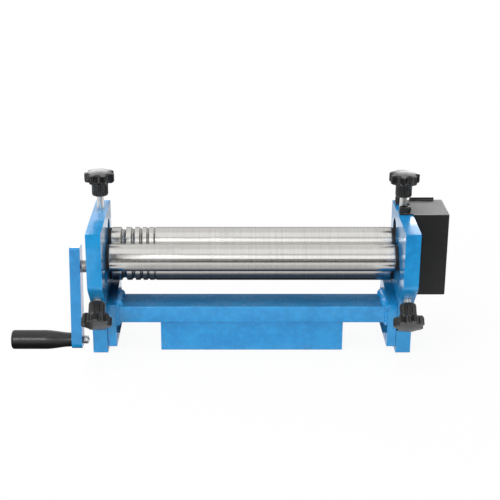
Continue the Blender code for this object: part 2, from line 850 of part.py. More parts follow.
def handle():
    """The free-turning grip on its spindle, and the nut inside the arm."""
    offset_y, offset_z = crank_point(crank_throw, 0)
    axis_y, axis_z = pinch_y + offset_y, lower_axis_height + offset_z
    start = (-crank_outer, axis_y, axis_z)
    belly = grip_diameter / 2
    neck = grip_neck_diameter / 2
    low = 2 * gap
    far = low + grip_length
    taper = grip_length * (1 - grip_belly_share)
    rim = (far - grip_end_radius, belly - grip_end_radius)
    outer = [(radius, height) for height, radius in arc(rim, grip_end_radius, 0, 90, corner_steps)]
    for i in range(neck_steps + 1):
        share = i / neck_steps
        swell = (1 + math.cos(math.pi * share)) / 2
        outer.append((neck + (belly - neck) * swell, low + taper * (1 - share)))
    spindle_far = far - spindle_from_end
    head_low = spindle_far - spindle_head_length
    bore = spindle_radius + gap
    chamber = spindle_head_radius + gap
    inner = [
        (bore, low),
        (bore, head_low - gap),
        (chamber, head_low - gap),
        (chamber, spindle_far + gap),
        (0, spindle_far + gap),
    ]
    profile = [(0, far)] + outer + inner
    round_off(turned("grip", profile, shaft_sides, black_plastic, start, against_x))
    thread_end = -(crank_thickness + 2 * gap + nut_thickness + spindle_thread_beyond_nut)
    spindle = [
        (0, spindle_far),
        (spindle_head_radius, spindle_far),
        (spindle_head_radius, head_low),
        (spindle_radius, head_low),
        (spindle_radius, gap),
        (spindle_thread_radius, gap),
        (spindle_thread_radius, thread_end + chamfer),
        (spindle_thread_radius - chamfer, thread_end),
        (0, thread_end),
    ]
    round_off(turned("handle_spindle", spindle, screw_sides, zinc, start, against_x))
    hexagon = circle((0, 0), nut_across_flats / 2 / math.cos(math.pi / hex_sides), hex_sides)
    hole = circle((0, 0), spindle_thread_radius + gap, screw_sides)
    centre = (-crank_inner + gap + nut_thickness / 2, axis_y, axis_z)
    flat("handle_nut", [hexagon, hole], nut_thickness, zinc, centre, side_on)


def build():
    """Every piece of the slip roll."""
    for side in side_names:
        side_plate(side)
        end_plate(side)
        lower_bush(side)
        word = side_names[side]
        upper_centre = Vector((0, pinch_y, upper_axis_height))
        sliding_block(f"upper_block_{word}", side, upper_centre, Vector((0, 0, 1)), (0, 0, 0))
        sliding_block(f"bend_block_{word}", side, bend_centre, diagonal, down_forward)
    cross_beam()
    vise_bar()
    welds()
    frame_screws()
    geared_roller("lower_roller", chamfer - crank_outer, lower_axis_height)
    geared_roller("upper_roller", 2 * chamfer - outer_face, upper_axis_height)
    bending_roller()
    roller_washers()
    gear_set("lower", lower_axis_height, math.pi / 2)
    gear_set("upper", upper_axis_height, math.pi / 2 + math.pi / gear_teeth)
    gear_cover()
    adjusters()
    crank_arm()
    handle()


build()
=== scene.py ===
"""Looks of the slip roll: its finishes and fine surfaces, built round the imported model.

Metres, +Z up. X runs along the rollers, with the crank at -X and the gears at +X.
"""

import json
import math

import bmesh
import bpy
from bpy.props import FloatProperty, FloatVectorProperty, IntProperty, PointerProperty
from mathutils import Matrix, Vector, noise

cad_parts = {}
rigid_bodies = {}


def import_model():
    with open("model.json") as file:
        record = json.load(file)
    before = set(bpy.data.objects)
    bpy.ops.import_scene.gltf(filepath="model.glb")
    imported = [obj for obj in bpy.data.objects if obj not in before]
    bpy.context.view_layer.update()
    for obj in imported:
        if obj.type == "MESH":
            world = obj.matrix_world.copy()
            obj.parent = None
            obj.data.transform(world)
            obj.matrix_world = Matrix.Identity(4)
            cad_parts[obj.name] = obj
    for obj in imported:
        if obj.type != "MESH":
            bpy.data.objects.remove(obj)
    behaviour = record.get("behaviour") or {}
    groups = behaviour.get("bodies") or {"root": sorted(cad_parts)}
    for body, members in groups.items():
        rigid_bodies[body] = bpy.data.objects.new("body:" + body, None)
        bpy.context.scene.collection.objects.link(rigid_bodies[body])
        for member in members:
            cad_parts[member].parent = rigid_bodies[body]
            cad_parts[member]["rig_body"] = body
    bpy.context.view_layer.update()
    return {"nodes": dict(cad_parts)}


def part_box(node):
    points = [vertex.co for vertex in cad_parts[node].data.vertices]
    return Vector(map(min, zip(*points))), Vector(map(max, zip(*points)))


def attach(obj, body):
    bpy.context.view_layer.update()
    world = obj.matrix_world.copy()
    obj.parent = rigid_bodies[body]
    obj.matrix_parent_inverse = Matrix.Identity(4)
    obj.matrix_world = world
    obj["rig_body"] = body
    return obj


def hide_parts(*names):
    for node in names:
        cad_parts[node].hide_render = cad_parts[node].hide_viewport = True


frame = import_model()

bl_info = {
    "name": "Slip roll looks",
    "version": (1, 0, 0),
    "blender": (4, 5, 0),
    "location": "3D View > Sidebar > Slip roll",
    "description": "Fine surfaces, finishes and a studio for a hand-cranked slip roll",
    "category": "Object",
}

# Sizes that the pieces share with the solids they stand for, in metres
side_words = {-1: "left", 1: "right"}
roller_words = ("upper", "lower", "bending")
journal_radius = 0.007
wire_widths = (0.0058, 0.00412, 0.00348, 0.00278, 0.0018)
wire_places = (0.0138, 0.0246, 0.0337, 0.0415, 0.0492)
screw_radius = 0.004
screw_in_knob = 0.012
small_shank = 0.003
frame_head_height = 0.006
gear_head_height = 0.0055
cover_head_height = 0.0062
gear_screw_bore = 0.0033
gear_screw_bore_depth = 0.0143
running_gap = 0.0003

# Limits for telling points, edges and faces apart
merge_distance = 0.00001
wall_reach = 0.0004
flat_angle = math.radians(1)
sharp_angle = math.radians(30)
crease_angle = math.radians(32)

# Directions
diagonal = Vector((0, 1, 1)).normalized()
along_x = Matrix.Rotation(math.pi / 2, 4, "Y")
against_x = Matrix.Rotation(-math.pi / 2, 4, "Y")
down_forward = Matrix.Rotation(math.radians(135), 4, "X")


def length_property(name, description, default):
    """A length that a user can change, in metres."""
    return FloatProperty(name=name, description=description, default=default, unit="LENGTH")


def angle_property(name, description, degrees):
    """An angle that a user can change, given in degrees."""
    return FloatProperty(name=name, description=description, default=math.radians(degrees), subtype="ANGLE")


def power_property(name, description, default):
    """A lamp's power that a user can change, in watts."""
    return FloatProperty(name=name, description=description, default=default, unit="POWER")


def colour_property(name, description, default):
    """A colour that a user can change."""
    return FloatVectorProperty(
        name=name, description=description, default=default, subtype="COLOR", min=0, max=1
    )


class SlipRollSizes(bpy.types.PropertyGroup):
    """Sizes of the fine shapes."""

    plate_edge: length_property("Plate edge", "Rounding of the thick plates' edges", 0.0009)
    foot_corner: length_property("Foot corner", "Rounding of the plates' lower corners", 0.0026)
    foot_edge: length_property("Foot edge", "Rounding of the plates' other lower edges", 0.0014)
    beam_corner: length_property("Beam corner", "Outer radius of the tube's corners", 0.0022)
    sheet_fold: length_property("Sheet fold", "Outer radius of the gear cover's folds", 0.0013)
    fine_edge: length_property("Fine edge", "Rounding of small machined edges", 0.0003)
    weld_radius: length_property("Weld radius", "Radius of a weld bead", 0.0034)
    weld_ripple: length_property("Weld ripple", "Length of one ripple of a bead", 0.0028)
    thread_pitch: length_property("Thread pitch", "Pitch of the adjusting screws", 0.00125)
    thread_depth: length_property("Thread depth", "Depth of the adjusting screws' thread", 0.0007)
    knob_rib: length_property("Knob rib", "Depth of the ribs down a knob's side", 0.0009)
    roller_steps: IntProperty(
        name="Roller steps", description="Straight sides that stand for a roller's circle",
        default=96, min=24,
    )


class SlipRollColours(bpy.types.PropertyGroup):
    """Colours of the finishes."""

    enamel: colour_property("Enamel", "Blue enamel", (0.014, 0.300, 0.650))
    enamel_deep: colour_property("Deep enamel", "Enamel where it lies thick", (0.008, 0.235, 0.560))
    steel: colour_property("Ground steel", "The rollers' steel", (0.68, 0.67, 0.645))
    dark_steel: colour_property("Dark steel", "Oiled steel of gears and blocks", (0.17, 0.16, 0.155))
    oxide: colour_property("Black oxide", "Blackened screws and washers", (0.028, 0.026, 0.027))
    bronze: colour_property("Bronze", "The lower roller's bushes", (0.55, 0.36, 0.16))
    plastic: colour_property("Black plastic", "Moulded knobs and grip", (0.010, 0.0097, 0.0095))
    powder: colour_property("Black powder coat", "The gear cover", (0.008, 0.0078, 0.0078))
    zinc: colour_property("Zinc", "Plated screws and nut", (0.92, 0.91, 0.89))


class SlipRollStudio(bpy.types.PropertyGroup):
    """The bench, the lamps and the camera."""

    camera_place: FloatVectorProperty(
        name="Camera", description="The camera's place", default=(-0.0250, -1.2738, 0.5910),
        subtype="TRANSLATION", unit="LENGTH",
    )
    camera_tilt: angle_property("Tilt", "The camera's tilt from straight down", 69.7)
    camera_lens: FloatProperty(
        name="Lens", description="Focal length in millimetres", default=87.62, unit="CAMERA"
    )
    camera_shift: FloatProperty(name="Shift", description="Sideways shift of the picture", default=0.0404)
    bench_edge: length_property("Bench edge", "X of the bench's edge, which the crank hangs past", -0.186)
    flag_front: length_property("Flag front", "Front edge of the dark card before the rollers", -0.80)
    flag_rear: length_property("Flag rear", "Rear edge of the dark card before the rollers", -0.25)
    front_power: power_property("Front lamp", "Power of the front lamp", 16)
    top_power: power_property("Top lamp", "Power of the top lamp", 20)
    rear_power: power_property("Rear lamp", "Power of the rear lamp", 16)
    ambient: FloatProperty(name="Ambient", description="Light from all round", default=0.42)


def sizes():
    """The sizes set in the scene."""
    return bpy.context.scene.slip_roll_sizes


def colours():
    """The colours set in the scene."""
    return bpy.context.scene.slip_roll_colours


class Value:
    """A shader socket that takes part in plain expressions."""

    def __init__(self, bench, socket):
        self.bench = bench
        self.socket = socket

    def work(self, operation, *others):
        """A Math node on this value and others."""
        inputs = dict(enumerate((self, *others)))
        return self.bench.node("ShaderNodeMath", {"operation": operation}, inputs)

    def __add__(self, other):
        return self.work("ADD", other)

    __radd__ = __add__

    def __mul__(self, other):
        return self.work("MULTIPLY", other)

    __rmul__ = __mul__

    def __sub__(self, other):
        return self.work("SUBTRACT", other)

    def __rsub__(self, other):
        return (self * -1) + other

    def between(self, low, high):
        """0 below low, 1 above high and a smooth step between them."""
        settings = {"interpolation_type": "SMOOTHSTEP"}
        inputs = {"Value": self, "From Min": low, "From Max": high}
        return self.bench.node("ShaderNodeMapRange", settings, inputs, "Result")


class Finish:
    """A procedural material on a Principled shader."""

    def __init__(self, name, **constants):
        self.material = bpy.data.materials.new(name)
        self.material.use_nodes = True
        self.tree = self.material.node_tree
        self.shader = self.tree.nodes["Principled BSDF"]
        for socket, value in constants.items():
            self.shader.inputs[socket.replace("_", " ")].default_value = value

    def node(self, kind, settings=None, inputs=None, output=0):
        """A node of a kind, with its settings and then the values or links of its sockets."""
        node = self.tree.nodes.new(kind)
        for key, value in (settings or {}).items():
            setattr(node, key, value)
        for key, value in (inputs or {}).items():
            if isinstance(value, Value):
                self.tree.links.new(value.socket, node.inputs[key])
            else:
                node.inputs[key].default_value = value
        return Value(self, node.outputs[output])

    def place(self, scale=(1, 1, 1)):
        """Object coordinates, stretched by a scale along each axis."""
        coordinates = self.node("ShaderNodeTexCoord", output="Object")
        return self.node("ShaderNodeMapping", None, {"Vector": coordinates, "Scale": scale})

    def along(self, letter):
        """Distance along one of the object's axes."""
        return self.node("ShaderNodeSeparateXYZ", None, {"Vector": self.place()}, letter)

    def noise(self, scale, stretch=(1, 1, 1), detail=3.0, roughness=0.55):
        """Noise with a number of features in a metre."""
        inputs = {"Vector": self.place(stretch), "Scale": scale, "Detail": detail, "Roughness": roughness}
        return self.node("ShaderNodeTexNoise", None, inputs, "Fac")

    def cells(self, scale):
        """Distance to the nearest of many scattered points."""
        return self.node("ShaderNodeTexVoronoi", None, {"Vector": self.place(), "Scale": scale}, "Distance")

    def upward(self):
        """How far a face looks up, from -1 to 1."""
        normal = self.node("ShaderNodeTexCoord", output="Normal")
        return self.node("ShaderNodeSeparateXYZ", None, {"Vector": normal}, "Z")

    def attribute(self, name):
        """A value painted on the mesh."""
        return self.node("ShaderNodeAttribute", {"attribute_name": name}, None, "Fac")

    def blend(self, share, first, second):
        """A colour between two others."""
        inputs = {0: share, 6: self.colour(first), 7: self.colour(second)}
        return self.node("ShaderNodeMix", {"data_type": "RGBA"}, inputs, 2)

    def colour(self, value):
        """A colour with its alpha, or a link as it is."""
        if isinstance(value, Value):
            return value
        return (*value[:3], 1)

    def set(self, socket, value):
        """A value or link on one of the shader's sockets."""
        if isinstance(value, Value):
            self.tree.links.new(value.socket, self.shader.inputs[socket])
        else:
            self.shader.inputs[socket].default_value = value

    def bump(self, height, distance, strength=1.0):
        """Relief of a height, as deep as a distance."""
        inputs = {"Height": height, "Distance": distance, "Strength": strength}
        self.set("Normal", self.node("ShaderNodeBump", None, inputs, "Normal"))

    def end_in(self, shader):
        """Make another shader the material's surface."""
        self.tree.links.new(shader.socket, self.tree.nodes["Material Output"].inputs["Surface"])


def shade(colour, factor):
    """A colour made darker or lighter."""
    return tuple(min(1.0, part * factor) for part in colour)


def enamel(name="blue_enamel", grit_and_top_shade=0.0):
    """Glossy blue enamel with orange peel and smudges, rims painted paler as a painted highlight, and on
    its top gritty specks and a painted shade.

    Painted shade darkens the faces marked as under the rollers, more to the rear, and the faces marked in
    the slots show dark steel, as worn paint and as painted shade in the slots.
    """
    coat = 0.5
    paint = Finish(name, Metallic=0.0, Coat_Weight=coat, Coat_Roughness=0.06, IOR=1.5)
    blue, deep = colours().enamel, colours().enamel_deep
    cover = paint.noise(38, detail=4)
    cloud = paint.noise(9, detail=2)
    base = paint.blend((cover * 0.7 + cloud * 0.5).between(0.42, 0.78), deep, blue)
    mottle = paint.noise(150, detail=3, roughness=0.7)
    base = paint.blend(mottle.between(0.42, 0.68) * 0.5, base, shade(blue, 1.14))
    # Painted highlight: the faces marked rim, the rounded edges and weld beads, are painted paler in
    # flecks, as the light lines along edges.
    thin = paint.attribute("rim") * paint.noise(240, detail=2).between(0.35, 0.75)
    base = paint.blend(thin * 0.5, base, shade(blue, 1.45))
    smudge = paint.noise(26, (1, 1, 2.2), detail=5, roughness=0.7).between(0.60, 0.74)
    base = paint.blend(smudge * 0.22, base, (0.10, 0.22, 0.36))
    dust = paint.cells(420).between(0.16, 0.05) * paint.noise(70).between(0.50, 0.62)
    base = paint.blend(dust * 0.35, base, (0.30, 0.46, 0.62))
    matt = 0.0
    if grit_and_top_shade:
        speck = paint.noise(900, detail=2, roughness=0.8).between(0.55, 0.68)
        patch = paint.noise(60, (0.5, 1, 1), detail=3).between(0.38, 0.62)
        up = paint.upward().between(0.6, 0.9)
        # Painted shade: faces that look up are painted a darker blue, for the shade that the rollers cast
        # on the beam's top.
        base = paint.blend(up * 0.48, base, shade(deep, 0.42))
        base = paint.blend(speck * patch * up * grit_and_top_shade, base, (0.42, 0.55, 0.68))
        paint.set("Coat Weight", coat * (1 - up))
        matt = up * 0.34
    # Painted shade: the marked faces turn near black towards the rear, as the shade under the rollers.
    shade_under_rollers = paint.attribute("shade_under_rollers") * paint.along("Y").between(-0.030, 0.018)
    base = paint.blend(shade_under_rollers * 0.88, base, (0.003, 0.012, 0.045))
    # Dark steel in the slots: worn paint and painted shade, for the dark seen in the right plate's slots.
    bare_and_shaded = paint.attribute("bare_and_shaded")
    paint.set("Metallic", bare_and_shaded * 0.6)
    paint.set("Base Color", paint.blend(bare_and_shaded * 0.9, base, (0.11, 0.115, 0.13)))
    paint.set("Roughness", 0.15 + cover * 0.08 + smudge * 0.14 + matt)
    peel = paint.noise(520, detail=1.5)
    paint.bump(peel + cover * 0.8, 0.00022, 0.5)
    return paint.material


def ground_steel():
    """Polished steel with grinding rings, handling marks, a few rust specks and a sooty right end.

    Faces marked groove are painted darker, as painted shade in the wire grooves, and those marked journal
    are duller.
    """
    steel = Finish("ground_steel", Metallic=1.0)
    tone = colours().steel
    rings = steel.noise(1500, (1, 0.004, 0.004), detail=3, roughness=0.7)
    broad = steel.noise(60, (1, 0.2, 0.2), detail=3)
    smudge = steel.noise(34, (0.45, 1, 1), detail=5, roughness=0.65)
    base = steel.blend(rings.between(0.25, 0.75), shade(tone, 0.90), shade(tone, 1.06))
    base = steel.blend(smudge.between(0.52, 0.78) * 0.30, base, shade(tone, 0.72))
    spot = steel.cells(330).between(0.20, 0.08) * steel.noise(45).between(0.52, 0.62)
    base = steel.blend(spot * 0.6, base, (0.16, 0.13, 0.11))
    ragged = steel.noise(160, (0.3, 1, 1), detail=3) * 0.004
    sooty_end = (steel.along("X") + ragged).between(0.1590, 0.1625)
    base = steel.blend(sooty_end * 0.80, base, (0.115, 0.11, 0.105))
    # Painted shade: the wire grooves' faces are painted darker, as the shade inside the grooves.
    base = steel.blend(steel.attribute("groove") * 0.55, base, shade(tone, 0.30))
    journal = steel.attribute("journal")
    steel.set("Base Color", steel.blend(journal, base, shade(tone, 0.58)))
    polish = 0.14 + rings * 0.07 + broad * 0.05 + smudge.between(0.5, 0.8) * 0.10
    steel.set("Roughness", polish + journal * 0.16)
    wave = steel.noise(55, (0.5, 1, 1), detail=2)
    steel.bump(rings * 0.06 + smudge * 0.03 + wave, 0.00006)
    return steel.material


def worked_steel(name, tone, roughness, scale=700, metallic=1.0):
    """Machined metal with tool marks, dark stains in patches and a bright rim."""
    metal = Finish(name, Metallic=metallic)
    marks = metal.noise(scale, (1, 0.12, 1), detail=3)
    stain = metal.noise(85, detail=5, roughness=0.65)
    base = metal.blend(marks, shade(tone, 0.78), shade(tone, 1.2))
    base = metal.blend(stain.between(0.5, 0.75) * 0.5, base, shade(tone, 0.5))
    worn = metal.attribute("rim") * metal.noise(500).between(0.4, 0.6)
    base = metal.blend(worn * 0.5, base, shade(tone, 1.9))
    metal.set("Base Color", base)
    metal.set("Roughness", roughness + marks * 0.12 + stain * 0.08)
    metal.bump(marks + stain * 0.5, 0.00003, 0.5)
    return metal.material


def zinc_plate(name="zinc_plate", brightness=1.0):
    """Zinc plate with a grain and a faint straw tint."""
    zinc = Finish(name, Metallic=1.0)
    tone = shade(colours().zinc, brightness)
    tint = zinc.noise(160, detail=2)
    base = zinc.blend(tint.between(0.35, 0.5), shade(tone, 0.92), tone)
    base = zinc.blend(tint.between(0.55, 0.7) * 0.6, base, shade((0.86, 0.83, 0.72), brightness))
    grain = zinc.noise(1200, detail=3)
    base = zinc.blend(grain.between(0.6, 0.8) * 0.35, base, shade(tone, 0.6))
    zinc.set("Base Color", base)
    zinc.set("Roughness", 0.32 + grain * 0.14)
    zinc.bump(grain, 0.00002, 0.5)
    return zinc.material


def moulded_plastic(name, stretch=(1, 1, 1), gloss=0.22, shine=0.55):
    """Black moulded plastic with flow marks, a fine skin, rubbed patches and domes painted paler as a
    painted sheen.
    """
    plastic = Finish(name, Metallic=0.0, Specular_IOR_Level=shine)
    tone = colours().plastic
    flow = plastic.noise(120, stretch, detail=4)
    skin = plastic.noise(1600, stretch, detail=2)
    base = plastic.blend(flow.between(0.35, 0.7), shade(tone, 0.8), shade(tone, 1.35))
    rub = plastic.noise(65, detail=5, roughness=0.7).between(0.56, 0.74)
    base = plastic.blend(rub * 0.35, base, (0.060, 0.056, 0.054))
    # Painted sheen: the faces marked dome are painted paler grey, standing in for the light that the knobs'
    # domes catch.
    dome = plastic.attribute("dome")
    plastic.set("Base Color", plastic.blend(dome * 0.5, base, (0.055, 0.054, 0.052)))
    plastic.set("Roughness", gloss + flow * 0.10 + rub * 0.10 + dome * 0.12)
    plastic.bump(skin + flow * 0.6, 0.00004, 0.5)
    return plastic.material


def powder_coat():
    """Black powder coat: a fine even grain, a few dusty scuffs, and upper rims painted pale, as worn paint
    and as a painted highlight along the top edges.
    """
    powder = Finish("black_powder_coat", Metallic=0.0, Specular_IOR_Level=0.42)
    tone = colours().powder
    grain = powder.noise(1300, detail=2)
    cloud = powder.noise(40, detail=4)
    base = powder.blend(grain.between(0.35, 0.7), shade(tone, 0.75), shade(tone, 1.45))
    scuff = powder.noise(75, (1, 0.25, 1), detail=5, roughness=0.75).between(0.60, 0.72)
    base = powder.blend(scuff * 0.25, base, (0.085, 0.083, 0.080))
    # Painted highlight: rims that look up are painted pale grey in patches, worn paint and the light line
    # along the cover's top edges in one.
    worn = powder.attribute("rim") * powder.upward().between(0.15, 0.6)
    patchy = 0.55 + powder.noise(420).between(0.4, 0.6) * 0.3
    base = powder.blend(worn * patchy, base, (0.34, 0.34, 0.33))
    powder.set("Base Color", base)
    powder.set("Roughness", 0.36 + cloud * 0.12 + grain * 0.06)
    powder.bump(grain, 0.00006, 0.6)
    return powder.material


# Each finish: the record's material slot and the function that makes the material
finishes = {
    "enamel": ("blue_paint", enamel),
    "gritty_top_shaded_enamel": ("blue_paint", lambda: enamel("blue_enamel_gritty_shaded_top", 0.75)),
    "ground_steel": ("ground_steel", ground_steel),
    "dark_steel": ("dark_steel", lambda: worked_steel("dark_steel", colours().dark_steel, 0.28)),
    "oxide": ("black_oxide", lambda: worked_steel("black_oxide", colours().oxide, 0.34, 900, 0.55)),
    "bronze": ("bronze", lambda: worked_steel("oiled_bronze", colours().bronze, 0.24)),
    "plastic": ("black_plastic", lambda: moulded_plastic("knob_plastic", gloss=0.18, shine=0.8)),
    "grip_plastic": ("black_plastic", lambda: moulded_plastic("grip_plastic", (0.06, 1, 1), 0.27, 0.6)),
    "powder": ("black_powder", powder_coat),
    "zinc": ("zinc", zinc_plate),
    "dull_zinc": ("zinc", lambda: zinc_plate("dull_zinc", 0.5)),
}
made_finishes = {}


def finish_named(word):
    """A finish's material, made the first time it is asked for."""
    if word not in made_finishes:
        made_finishes[word] = finishes[word][1]()
    return made_finishes[word]


def copy_of(node):
    """A merged copy of a node's mesh with its flat faces whole."""
    soup = bmesh.new()
    soup.from_mesh(frame["nodes"][node].data)
    bmesh.ops.remove_doubles(soup, verts=soup.verts, dist=merge_distance)
    bmesh.ops.dissolve_limit(
        soup, angle_limit=flat_angle, verts=soup.verts, edges=soup.edges, delimit=set()
    )
    return soup


def cuboid(low, high):
    """A box between two corners."""
    low, high = Vector(low), Vector(high)
    soup = bmesh.new()
    bmesh.ops.create_cube(soup, size=1)
    bmesh.ops.scale(soup, vec=high - low, verts=soup.verts)
    bmesh.ops.translate(soup, vec=(low + high) / 2, verts=soup.verts)
    return soup


def round_edges(soup, width, segments=2, chosen=None):
    """Round the hard edges, or those that a test picks, and mark the new faces as rim."""
    rim = soup.faces.layers.float.get("rim") or soup.faces.layers.float.new("rim")
    edges = []
    for edge in soup.edges:
        if edge.is_manifold and edge.calc_face_angle(0) > sharp_angle:
            if chosen is None or chosen(edge):
                edges.append(edge)
    result = bmesh.ops.bevel(
        soup, geom=edges, offset=width, offset_type="OFFSET", segments=segments, profile=0.5,
        affect="EDGES", material=-1, clamp_overlap=True, loop_slide=True,
    )
    for face in result["faces"]:
        face[rim] = 1.0
    return soup


def mark(soup, name, test, value=1.0):
    """Paint a value on the faces that a test picks."""
    layer = soup.faces.layers.float.get(name) or soup.faces.layers.float.new(name)
    for face in soup.faces:
        if test(face):
            face[layer] = value
    return soup


def in_slot(face, low, high, half):
    """Whether a face is on the wall of a slot along YZ between the middles of its round ends."""
    if abs(face.normal.x) > 0.5:
        return False
    spot = face.calc_center_median()
    spot.x = low.x
    near = spot - low
    run = high - low
    share = min(1.0, max(0.0, near.dot(run) / run.length_squared))
    return (near - run * share).length < half + wall_reach


def turned(profile, steps, closed=False):
    """A piece turned about Z from (radius, height) points."""
    soup = bmesh.new()
    points = [soup.verts.new((radius, 0, height)) for radius, height in profile]
    edges = [soup.edges.new(pair) for pair in zip(points, points[1:])]
    if closed:
        edges.append(soup.edges.new((points[-1], points[0])))
    bmesh.ops.spin(
        soup, geom=points + edges, cent=(0, 0, 0), axis=(0, 0, 1), angle=2 * math.pi,
        steps=steps, use_merge=True,
    )
    bmesh.ops.remove_doubles(soup, verts=soup.verts, dist=merge_distance)
    bmesh.ops.recalc_face_normals(soup, faces=soup.faces)
    return soup


def put(soup, matrix):
    """Move a soup by a matrix."""
    bmesh.ops.transform(soup, matrix=matrix, verts=soup.verts)
    return soup


def sheet_of(columns, rows, place):
    """A grid whose points a function of (u, v), both from 0 to 1, sends to their places."""
    soup = bmesh.new()
    bmesh.ops.create_grid(soup, x_segments=columns, y_segments=rows, size=0.5)
    for point in soup.verts:
        point.co = place(point.co.x + 0.5, point.co.y + 0.5)
    bmesh.ops.remove_doubles(soup, verts=soup.verts, dist=merge_distance)
    bmesh.ops.recalc_face_normals(soup, faces=soup.faces)
    return soup


def mesh_object(name, soup):
    """An object at the origin from a soup."""
    mesh = bpy.data.meshes.new(name)
    soup.to_mesh(mesh)
    soup.free()
    item = bpy.data.objects.new(name, mesh)
    bpy.context.scene.collection.objects.link(item)
    return item


def carve(item, *soups):
    """Cut soups out of an object, one exact Boolean each, and keep the result as its mesh."""
    tools = [mesh_object(f"{item.name}_cutter_{i}", soup) for i, soup in enumerate(soups)]
    for tool in tools:
        boolean = item.modifiers.new(tool.name, "BOOLEAN")
        boolean.operation = "DIFFERENCE"
        boolean.solver = "EXACT"
        boolean.object = tool
    bpy.context.view_layer.update()
    evaluated = item.evaluated_get(bpy.context.evaluated_depsgraph_get())
    mesh = bpy.data.meshes.new_from_object(evaluated)
    item.modifiers.clear()
    item.data = mesh
    for tool in tools:
        bpy.data.objects.remove(tool, do_unlink=True)
    return item


def made(node, soup, finish, *cutters):
    """A finished piece that stands for one node and rides on its body."""
    item = mesh_object(f"{node}_made", soup)
    if cutters:
        carve(item, *cutters)
    item.data.materials.clear()
    item.data.materials.append(finish_named(finish))
    item.data.shade_smooth()
    item.data.set_sharp_from_angle(angle=crease_angle)
    weighted = item.modifiers.new("normals", "WEIGHTED_NORMAL")
    weighted.keep_sharp = True
    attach(item, frame["nodes"][node]["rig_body"])
    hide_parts(node)
    return item


def eased(node, finish, width, segments):
    """A piece with a node's own shape and rounded edges."""
    return made(node, round_edges(copy_of(node), width, segments), finish)


def axis_of(node):
    """Y and Z of the middle of a round node that lies along X."""
    low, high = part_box(node)
    return (low.y + high.y) / 2, (low.z + high.z) / 2


def lay(soup, node):
    """Turn a soup from Z to X and put it on the axis of a round node."""
    return put(soup, Matrix.Translation((0, *axis_of(node))) @ along_x)


def ring(node, finish, bore, width, segments, steps=64):
    """A washer or bush along X with rounded edges."""
    low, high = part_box(node)
    outer = (high.z - low.z) / 2
    profile = [(bore, high.x), (outer, high.x), (outer, low.x), (bore, low.x)]
    soup = round_edges(turned(profile, steps, closed=True), width, segments)
    return made(node, lay(soup, node), finish)


class SLIPROLL_OT_plates(bpy.types.Operator):
    """Side plates and end plates with rounded edges, slots in dark steel as worn paint and painted shade,
    and painted shade on the end plates' tops
    """

    bl_idname = "slip_roll.plates"
    bl_label = "Plates"

    upper_room: length_property("Room above the block", "Free slot above the upper roller's block", 0.0116)
    bend_room: FloatVectorProperty(
        name="Room beside the block", description="Free slot below and above the bending roller's block",
        size=2, default=(0.0183, 0.0023), unit="LENGTH",
    )

    def execute(self, context):
        slot_bare_and_shade = (1.0, 0.35)
        # Painted shade on the end plates' tops, stronger on the left, where the side plate shades it from
        # the lamp.
        end_plate_shade = {"left": 1.0, "right": 0.4}
        for word in side_words.values():
            side_plate = self.rounded(f"side_plate_{word}")
            # Only the right plate's slots get dark steel, as worn paint and as painted shade in the slots.
            if word == "right":
                for bare_and_shade_share, slot in zip(slot_bare_and_shade, self.slots(word)):
                    mark(side_plate, "bare_and_shaded", lambda face, slot=slot: in_slot(face, *slot), bare_and_shade_share)
            made(f"side_plate_{word}", side_plate, "enamel")
            end_plate = self.rounded(f"end_plate_{word}")
            mark(end_plate, "shade_under_rollers", lambda face: face.normal.z > 0.9, end_plate_shade[word])
            made(f"end_plate_{word}", end_plate, "enamel")
        return {"FINISHED"}

    def rounded(self, node):
        """A plate with eased edges and more worn lower corners."""
        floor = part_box(node)[0].z
        soup = copy_of(node)

        def on_floor(edge):
            return all(abs(point.co.z - floor) < merge_distance for point in edge.verts)

        def across_foot(edge):
            return on_floor(edge) and abs(edge.verts[0].co.y - edge.verts[1].co.y) < merge_distance

        round_edges(soup, sizes().foot_corner, 4, across_foot)
        round_edges(soup, sizes().foot_edge, 3, on_floor)
        return round_edges(soup, sizes().plate_edge, 3, lambda edge: edge.is_convex)

    def slots(self, word):
        """The middles of each slot's round ends in a side plate, and the slot's half width."""
        low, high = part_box(f"upper_block_{word}")
        middle = (low + high) / 2
        half = (high.y - low.y) / 2 + running_gap
        room = self.upper_room + (high.z - low.z) / 2 - half
        yield middle - Vector((0, 0, (high.z - low.z) / 2 - half)), middle + Vector((0, 0, room)), half
        low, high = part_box(f"bend_block_{word}")
        middle = (low + high) / 2
        reach = (high.y - low.y - 2 * half) / 2 / diagonal.y
        down, up = self.bend_room
        yield middle - diagonal * (reach + down), middle + diagonal * (reach + up), half


class SLIPROLL_OT_beam(bpy.types.Operator):
    """Rectangular tube and the vise bar under it"""

    bl_idname = "slip_roll.beam"
    bl_label = "Beam and vise bar"

    wall: length_property("Wall", "Wall of the tube", 0.0025)

    def execute(self, context):
        low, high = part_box("cross_beam")
        soup = cuboid(low, high)
        ends = [face for face in soup.faces if abs(face.normal.x) > 0.5]
        bmesh.ops.delete(soup, geom=ends, context="FACES_ONLY")
        runs = [edge for edge in soup.edges if not edge.is_boundary]
        bmesh.ops.bevel(
            soup, geom=runs, offset=sizes().beam_corner, offset_type="OFFSET", segments=6, profile=0.5,
            affect="EDGES", material=-1,
        )
        bmesh.ops.recalc_face_normals(soup, faces=soup.faces)
        bmesh.ops.solidify(soup, geom=soup.faces[:], thickness=self.wall)
        bmesh.ops.recalc_face_normals(soup, faces=soup.faces)
        made("cross_beam", soup, "gritty_top_shaded_enamel")
        bar = cuboid(*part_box("vise_bar"))
        made("vise_bar", round_edges(bar, sizes().plate_edge, 3), "enamel")
        return {"FINISHED"}


